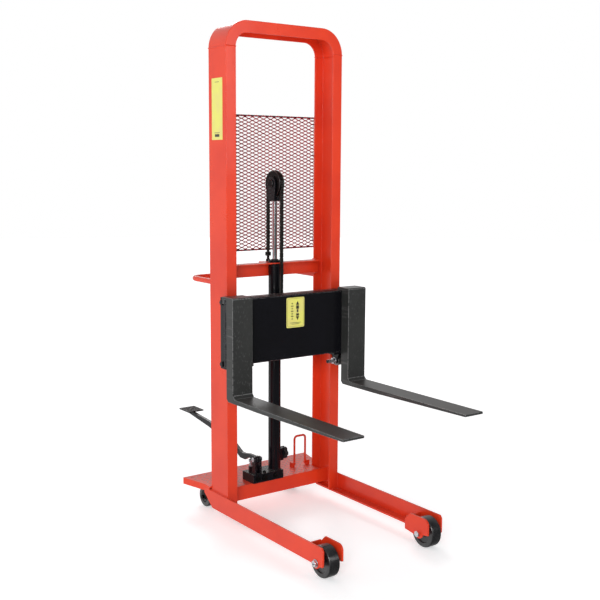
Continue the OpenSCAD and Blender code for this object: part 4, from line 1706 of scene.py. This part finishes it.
    def studs(self, shop: Shop) -> None:
        """Threads the end studs and pins their clevises.

        Args:
            shop: Where the pieces are made.
        """
        for node, body, strand in (
            ("rear_chain_anchor", Body.FRAME, "chain_rear"),
            ("front_chain_anchor", Body.CARRIAGE, "chain_front"),
        ):
            low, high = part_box(node)
            y = middle(strand).y
            length = high.z - low.z - self.clevis
            pin_z = high.z - self.pin_drop
            shape = Shape()
            shape.thread((0, y, low.z + self.stud_foot), UP_AXIS, self.stud_radius, length, self.stud_pitch)
            shape.pin(
                (-self.clevis_width / 2, y, pin_z),
                WIDTH_AXIS,
                self.clevis_pin,
                self.clevis_tip,
                self.clevis_width,
                self.clevis_chamfer,
                16,
            )
            shop.add(shape, f"{node}_thread", Slot.ZINC, body.value, maker=OXIDE)
            cotter = Shape()
            eye = ring((self.cotter_x, y, pin_z + self.eye_lift), LENGTH_AXIS, UP_AXIS, self.cotter_eye, 16)
            cotter.tube(eye, self.cotter_wire, 6, looped=True)
            for side in (-1, 1):
                bends = in_mm(self.cotter_leg)
                leg = [(self.cotter_x, y + side * spread, high.z - drop) for spread, drop in bends]
                cotter.tube(leg, self.cotter_wire, 6)
            shop.add(cotter, f"{node}_cotter", Slot.ZINC, body.value)


@dataclass
class Carriage:
    """Roller carriage with its face plate, label and guide brackets."""

    bolt: float = 17 * MM
    bolt_head: float = 7 * MM
    bolt_inset: float = 13 * MM
    washer: Pairs = (
        (0, 4.6),
        (0, 10.2),
        (0.3, 10.6),
        (1.3, 10.6),
        (1.6, 10.2),
        (1.6, 4.6),
    )
    washer_thick: float = 1.6 * MM
    nut: float = 21 * MM
    nut_height: float = 10.4 * MM
    nut_gap: float = 6.4 * MM
    thread_start: float = 10 * MM
    thread_length: float = 22 * MM
    thread_radius: float = 5.9 * MM
    thread_pitch: float = 1.75 * MM
    shank: Pairs = ((0, 5.7), (22, 5.7), (23, 4.9))
    pin_head: float = 20 * MM
    pin_head_height: float = 7 * MM
    nut_washer: Pairs = (
        (0, 6.3),
        (0, 12.2),
        (0.3, 12.6),
        (1.5, 12.6),
        (1.8, 12.2),
        (1.8, 6.3),
    )
    washer_gap: float = 0.1 * MM
    bracket_plate: float = 8 * MM
    small_bolt: float = 13 * MM
    small_head: float = 5 * MM
    small_inset: float = 18 * MM
    small_places: tuple[float, float] = (-26 * MM, -12 * MM)
    bead: float = 2.4 * MM
    weld_foot: float = 8 * MM
    weld_top: float = 18 * MM
    bracket_wall: float = 8 * MM
    border_inset: float = 3.5 * MM
    border_line: float = 0.7 * MM
    border_depth: float = 0.1 * MM
    border_corner: float = 5 * MM

    def build(self, shop: Shop) -> None:
        """Builds the carriage.

        Args:
            shop: Where the pieces are made.
        """
        shop.dress("carriage_plate", Slot.BLACK, edge=1.3)
        shop.dress("carriage_tie", Slot.BLACK, edge=0.7)
        shop.dress_all(pair("side_plate"), Slot.BLACK, edge=1.0)
        shop.dress("roller_brackets", Slot.BLACK, edge=1.0)
        shop.dress("roller_axles", Slot.ZINC, edge=0.8)
        shop.dress("wear_pads", Slot.WHEEL, edge=0.4)
        shop.dress("guide_brackets", Slot.BLACK, edge=0.6)
        shop.dress("carriage_label", Slot.LABEL, edge=0.15)
        self.side_bolts(shop)
        self.guide_bolts(shop)
        self.welds(shop)
        self.pictogram(shop)

    def side_bolts(self, shop: Shop) -> None:
        """Bolts the wear pads through the side plates.

        Args:
            shop: Where the pieces are made.
        """
        shape = Shape()
        for side, node in zip((-1, 1), pair("side_plate")):
            low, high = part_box(node)
            face = low.x if side < 0 else high.x
            pad_low, pad_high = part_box("wear_pads")
            y = (pad_low.y + pad_high.y) / 2
            for z in (pad_low.z + self.bolt_inset, pad_high.z - self.bolt_inset):
                shape.hollow((face, y, z), (side, 0, 0), in_mm(self.washer), sides=32)
                head = (face + side * self.washer_thick, y, z)
                shape.hexagon(head, (side, 0, 0), self.bolt, self.bolt_head)
        shop.add(shape, "side_plate_bolts", Slot.BLACK, Body.CARRIAGE.value)

    def guide_bolts(self, shop: Shop) -> None:
        """Adds bright nuts, washers and threads to the guide rollers' pins.

        Args:
            shop: Where the pieces are made.
        """
        shape = Shape()
        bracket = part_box("guide_brackets")[1]
        for side, node in zip((-1, 1), pair("guide_roller")):
            low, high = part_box(node)
            y, z = middle(node).yz
            inner, outer = (high.x, low.x) if side < 0 else (low.x, high.x)
            inward, outward = -side * WIDTH_AXIS, side * WIDTH_AXIS
            nut = inner - side * self.nut_gap
            shape.hexagon((nut, y, z), inward, self.nut, self.nut_height)
            end = (nut - side * self.thread_start, y, z)
            shape.thread(end, inward, self.thread_radius, self.thread_length, self.thread_pitch)
            shape.lathe(end, inward, in_mm(self.shank), sides=20)
            head = (outer + side * self.nut_gap, y, z)
            shape.hexagon(head, outward, self.pin_head, self.pin_head_height)
            shape.hollow((nut + side * self.washer_gap, y, z), inward, in_mm(self.nut_washer), sides=32)
            x = side * (abs(inner) - self.small_inset)
            for reach in self.small_places:
                place = (x, bracket.y + reach, bracket.z - self.bracket_plate)
                shape.hexagon(place, -UP_AXIS, self.small_bolt, self.small_head)
        shop.add(shape, "guide_bolts", Slot.ZINC, Body.CARRIAGE.value, maker=BRIGHT)

    def welds(self, shop: Shop) -> None:
        """Welds the brackets and side plates to the back of the face plate.

        Args:
            shop: Where the pieces are made.
        """
        shape = Shape()
        plate_low, plate_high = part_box("carriage_plate")
        y = plate_high.y
        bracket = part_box("roller_brackets")[1].x
        foot, top = plate_low.z + self.weld_foot, plate_high.z - self.weld_top
        for side in (-1, 1):
            for x in (side * bracket, side * (bracket - self.bracket_wall)):
                shape.bead([(x, y, foot), (x, y, top)], self.bead, seed=side + 3)
            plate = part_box("side_plate_right")[0].x * side
            shape.bead([(plate, y, foot), (plate, y, top)], self.bead, seed=side + 6)
        shop.add(shape, "carriage_welds", Slot.BLACK, Body.CARRIAGE.value)

    def pictogram(self, shop: Shop) -> None:
        """Prints a plain lift pictogram on the label.

        Args:
            shop: Where the pieces are made.
        """
        low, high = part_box("carriage_label")
        centre = (low + high) / 2
        place = Matrix.Translation((centre.x, low.y, centre.z)) @ FACING_FRONT
        shape = Shape()
        for outline in self.marks():
            shape.prism(in_mm(outline), place, PRINT_DEPTH)
        half = (high - low) / 2
        self.border(shape, place, half.x - self.border_inset, half.z - self.border_inset)
        shop.add(shape, "carriage_label_marks", Slot.LABEL, Body.CARRIAGE.value, maker=INK)

    def marks(self) -> list[list[tuple[float, float]]]:
        """Gives the outlines of the pictogram, in millimetres.

        Returns:
            One list of corners for each mark.
        """

        def bar(x: float, y: float, wide: float, tall: float) -> list[tuple[float, float]]:
            """Gives a bar about its middle."""
            return rectangle(x - wide / 2, y - tall / 2, x + wide / 2, y + tall / 2)

        arrow_up = [(2, 26), (16, 26), (9, 40)]
        arrow_down = [(16, -14), (2, -14), (9, -28)]
        blocks = [bar(9, 18, 12, 12), bar(9, 5, 7, 10), bar(9, -8, 12, 8)]
        steps = [bar(-14, 32 - 9 * k, 6 + 4 * (k % 2), 3.4) for k in range(7)]
        lines = [bar(0, -36 - 4.5 * k, 46 - 14 * k, 1.6) for k in range(2)]
        return [arrow_up, arrow_down, *blocks, *steps, *lines]

    def border(self, shape: Shape, place: Matrix, half_wide: float, half_tall: float) -> None:
        """Prints a thin line round the label.

        Args:
            shape: The mesh.
            place: Where the label's middle lies.
            half_wide: Half of the border's width.
            half_tall: Half of its height.
        """
        line, depth = self.border_line, self.border_depth
        rows = []
        for inset, lift in ((0, 0), (line, 0), (line, depth), (0, depth)):
            wide, tall, corner = half_wide - inset, half_tall - inset, self.border_corner - inset
            row = []
            for start, sx, sy in ((0, 1, 1), (90, -1, 1), (180, -1, -1), (270, 1, -1)):
                for k in range(5):
                    angle = math.radians(start + 22.5 * k)
                    u = sx * (wide - corner) + corner * math.cos(angle)
                    v = sy * (tall - corner) + corner * math.sin(angle)
                    row.append(place @ Vector((u, v, lift)))
            rows.append(row)
        shape.loft(rows, capped=False, looped=True)


@dataclass
class Rollers:
    """Mast rollers with their seals, and the guide rollers."""

    seal: Pairs = ((0, 19.5), (0, 31), (0.1, 31.6), (0.22, 31.2), (0.22, 19.5))

    def build(self, shop: Shop) -> None:
        """Builds the rollers.

        Args:
            shop: Where the pieces are made.
        """
        for node in [*pair("roller_top"), *pair("roller_low")]:
            shop.dress(node, Slot.MACHINED, edge=0.7)
            low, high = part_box(node)
            centre = (low + high) / 2
            side = -1 if centre.x > 0 else 1
            face = high.x if side > 0 else low.x
            shape = Shape().hollow((face, centre.y, centre.z), (side, 0, 0), in_mm(self.seal), sides=48)
            shop.add(shape, f"{node}_seal", Slot.KNOB, shop.bodies[node], maker=RUBBER)
        shop.dress_all(pair("guide_roller"), Slot.MACHINED, edge=0.9)


@dataclass
class Forks:
    """Forks that hook over the face plate."""

    edge: float = 1.6

    def build(self, shop: Shop) -> None:
        """Builds the forks.

        Args:
            shop: Where the pieces are made.
        """
        shop.dress_all(pair("fork"), Slot.FORK, self.edge)


@dataclass
class Pump:
    """Foot pump with its pedal, spring, plugs and release valve."""

    coil_wire: float = 1.0 * MM
    coil_turns: float = 2.25
    coil_steps: int = 28
    coil_keep: float = 0.41
    plug_height: float = 7 * MM
    washer_height: float = 1.4 * MM
    washer_room: tuple[float, float] = (2.2 * MM, 1.8 * MM)
    barrel_plugs: Pairs = ((26, 17), (-2, 14))
    tube_plug: tuple[float, float] = (-12, 12)
    screw_places: Pairs = ((34, 16), (34, -26))
    screw: Pairs = (
        (0, 3.2),
        (0, 6.4),
        (4.6, 6.5),
        (5.2, 6.0),
        (5.2, 3.2),
        (2.0, 3.0),
    )
    knob_washer: Pairs = (
        (0, 3.4),
        (0, 6.2),
        (1.5, 6.4),
        (2.4, 5.6),
        (2.4, 3.4),
        (1.2, 3.2),
    )
    knob_screw: Pairs = ((0, 3.4), (1.1, 3.3))
    pad_bead: float = 2.0 * MM
    pad_bead_start: float = 14 * MM
    pad_bead_end: float = 3 * MM

    def build(self, shop: Shop) -> None:
        """Builds the pump.

        Args:
            shop: Where the pieces are made.
        """
        shop.dress("pump_block", Slot.BLACK, edge=1.0)
        shop.dress("pump_barrel", Slot.BLACK, edge=0.7)
        shop.dress("pump_plunger", Slot.ZINC, edge=0.7)
        shop.dress("pedal_pin", Slot.ZINC, edge=0.5)
        shop.dress("pedal_lever", Slot.BLACK, edge=1.0)
        shop.dress("pedal_pad", Slot.BLACK, edge=0.7)
        shop.dress("valve_body", Slot.BLACK, edge=0.8)
        shop.dress("valve_knob", Slot.KNOB, edge=1.0)
        self.spring(shop)
        self.plugs(shop)
        self.pad_weld(shop)
        self.knob_details(shop)

    def spring(self, shop: Shop) -> None:
        """Winds the return spring under the plunger's cap.

        Args:
            shop: Where the pieces are made.
        """
        low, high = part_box("return_spring")
        centre = (low + high) / 2
        radius = (high.x - low.x) / 2 - self.coil_wire
        bottom, top = low.z + self.coil_wire, high.z - self.coil_wire
        count = int(self.coil_turns * self.coil_steps)
        path = []
        for k in range(count + 1):
            angle = math.tau * self.coil_turns * k / count
            path.append(
                (
                    centre.x + radius * math.cos(angle),
                    centre.y + radius * math.sin(angle),
                    bottom + (top - bottom) * k / count,
                )
            )
        shape = Shape().tube(path, self.coil_wire, 10)
        piece = shop.add(shape, "return_coil", Slot.ZINC, Body.PLUNGER.value, ["return_spring"])
        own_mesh(piece)

    def plugs(self, shop: Shop) -> None:
        """Sets the bleed and port plugs and the block's screws.

        Args:
            shop: Where the pieces are made.
        """
        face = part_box("pump_block")[0]
        block_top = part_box("pump_barrel")[0].z
        barrel, tube = middle("pump_barrel"), middle("cylinder_tube")
        plugs = [(barrel.x + offset, size) for offset, size in in_mm(self.barrel_plugs)]
        offset, size = self.tube_plug
        plugs.append((tube.x + offset * MM, size * MM))
        foot, rim = self.washer_room
        shape = Shape()
        for x, size in plugs:
            place = (x, face.y, (face.z + block_top) / 2)
            shape.hexagon(place, -LENGTH_AXIS, size, self.plug_height)
            washer = [(0, size / 2 + foot), (self.washer_height, size / 2 + rim)]
            shape.lathe(place, -LENGTH_AXIS, washer, sides=28)
        for x, y in in_mm(self.screw_places):
            place = (barrel.x + x, barrel.y + y, block_top)
            shape.hollow(place, UP_AXIS, in_mm(self.screw), sides=24)
        shop.add(shape, "pump_plugs", Slot.ZINC, Body.FRAME.value, maker=OXIDE)

    def pad_weld(self, shop: Shop) -> None:
        """Welds the pad to the lever.

        Args:
            shop: Where the pieces are made.
        """
        lever_low, lever_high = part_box("pedal_lever")
        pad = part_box("pedal_pad")[0]
        shape = Shape()
        for index, x in enumerate((lever_low.x, lever_high.x)):
            start, end = pad.y + self.pad_bead_start, lever_high.y - self.pad_bead_end
            shape.bead([(x, start, pad.z), (x, end, pad.z)], self.pad_bead, seed=index)
        shop.add(shape, "pad_welds", Slot.BLACK, Body.PEDAL.value)

    def knob_details(self, shop: Shop) -> None:
        """Adds the screw and washer in the middle of the release knob.

        Args:
            shop: Where the pieces are made.
        """
        low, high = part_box("valve_knob")
        centre = (low + high) / 2
        place = (high.x, centre.y, centre.z)
        shape = Shape()
        shape.hollow(place, WIDTH_AXIS, in_mm(self.knob_washer), sides=24)
        shape.lathe(place, WIDTH_AXIS, in_mm(self.knob_screw), sides=24)
        shop.add(shape, "knob_screw", Slot.ZINC, Body.KNOB.value)


# ------------------------------------------------------------------ studio


@dataclass
class Studio:
    """Pale floor, soft lights and the camera."""

    floor_reach: float = 14.0
    floor_middle: float = 0.5
    floor_sides: int = 64
    boxes: tuple[tuple[str, tuple[float, float, float], float, float], ...] = (
        ("key", (-3.6, -3.8, 2.2), 2.0, 150),
        ("front", (1.8, -4.4, 2.0), 1.6, 30),
        ("back", (1.8, 3.6, 3.4), 2.0, 60),
    )
    aim: tuple[float, float, float] = (0, 0, 0.7)
    eye: tuple[float, float, float] = (-1.961, -2.728, 1.254)
    heading: float = 35.97
    dip: float = 7.80
    roll: float = 0.3
    lens: float = 58.36
    sensor: float = 36.0
    view_reach: float = 60
    bright_side: tuple[float, float, float] = (-0.45, 0.85, 0.25)
    sky: float = 0.8
    dim: float = 0.12
    dim_from: float = -0.4
    backdrop: float = 1.0

    def build(self, shop: Shop) -> None:
        """Builds the studio.

        Args:
            shop: Where the floor's finish is made.
        """
        self.floor(shop)
        self.surroundings()
        for name, place, size, power in self.boxes:
            self.soft_box(name, place, size, power)
        self.camera()
        bpy.context.scene.view_settings.view_transform = "Standard"

    def floor(self, shop: Shop) -> None:
        """Lays the floor.

        Args:
            shop: Where the pieces are made.
        """
        shape = Shape()
        rows = [
            ring((0, 0, 0), WIDTH_AXIS, LENGTH_AXIS, reach, self.floor_sides)
            for reach in (self.floor_middle, self.floor_reach / 2, self.floor_reach)
        ]
        shape.loft(rows, capped=False)
        shape.mesh.faces.new(shape.mesh.verts[: self.floor_sides])
        bmesh.ops.recalc_face_normals(shape.mesh, faces=shape.mesh.faces)
        data = bpy.data.meshes.new("studio_floor")
        shape.mesh.to_mesh(data)
        shape.mesh.free()
        data.materials.append(shop.finish(FLOOR))
        piece = bpy.data.objects.new("studio_floor", data)
        piece.visible_glossy = False
        bpy.context.scene.collection.objects.link(piece)

    def surroundings(self) -> None:
        """Sets white surroundings that are brighter behind and to the left."""
        room = Recipe(bpy.data.worlds.new("white_room"))
        ray = Signal(room, room.node("ShaderNodeTexCoord").outputs["Generated"])
        toward = room.node(
            "ShaderNodeVectorMath",
            {"operation": "DOT_PRODUCT"},
            {0: ray, 1: Vector(self.bright_side).normalized()},
        )
        level = room.node(
            "ShaderNodeMapRange",
            {},
            {
                "Value": Signal(room, toward.outputs["Value"]),
                "From Min": self.dim_from,
                "To Min": self.dim,
                "To Max": self.sky,
            },
        )
        seen = Signal(room, room.node("ShaderNodeLightPath").outputs["Is Camera Ray"])
        glow = Signal(room, level.outputs["Result"])
        strength = room.node("ShaderNodeMix", {}, {0: seen, 2: glow, 3: self.backdrop})
        white = room.node(
            "ShaderNodeBackground", {}, {"Color": (1, 1, 1), "Strength": Signal(room, strength.outputs[0])}
        )
        room.node("ShaderNodeOutputWorld", {}, {"Surface": Signal(room, white.outputs[0])})
        bpy.context.scene.world = room.owner

    def soft_box(self, name: str, place: Point, size: float, power: float) -> None:
        """Hangs one square soft box that faces the machine.

        Args:
            name: Name of the light.
            place: Where it hangs.
            size: Width of its face.
            power: Its power in watts.
        """
        lamp = bpy.data.lights.new(name, "AREA")
        lamp.size = size
        lamp.energy = power
        box = bpy.data.objects.new(name, lamp)
        box.location = place
        aim = Vector(self.aim) - Vector(place)
        box.rotation_euler = aim.to_track_quat("-Z", "Y").to_euler()
        bpy.context.scene.collection.objects.link(box)

    def camera(self) -> None:
        """Stands the camera to the left of the forks."""
        heading, dip = math.radians(self.heading), math.radians(self.dip)
        forward = Vector(
            (math.sin(heading) * math.cos(dip), math.cos(heading) * math.cos(dip), -math.sin(dip))
        )
        view = bpy.data.cameras.new("view")
        view.lens = self.lens
        view.sensor_width = self.sensor
        view.clip_end = self.view_reach
        eye = bpy.data.objects.new("view", view)
        turn = forward.to_track_quat("-Z", "Y").to_matrix().to_4x4()
        roll = Matrix.Rotation(math.radians(self.roll), 4, "Z")
        eye.matrix_world = Matrix.Translation(self.eye) @ turn @ roll
        bpy.context.scene.collection.objects.link(eye)
        bpy.context.scene.camera = eye


def main() -> None:
    logging.basicConfig(level=logging.INFO, format="%(name)s: %(message)s")
    shop = Shop(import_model())
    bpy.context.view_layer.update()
    assemblies = (
        Mast(),
        Base(),
        Guard(),
        FrontWheels(),
        Casters(),
        LiftCylinder(),
        LiftChain(),
        Carriage(),
        Rollers(),
        Forks(),
        Pump(),
        Studio(),
    )
    for assembly in assemblies:
        assembly.build(shop)


if __name__ == "__main__":
    main()
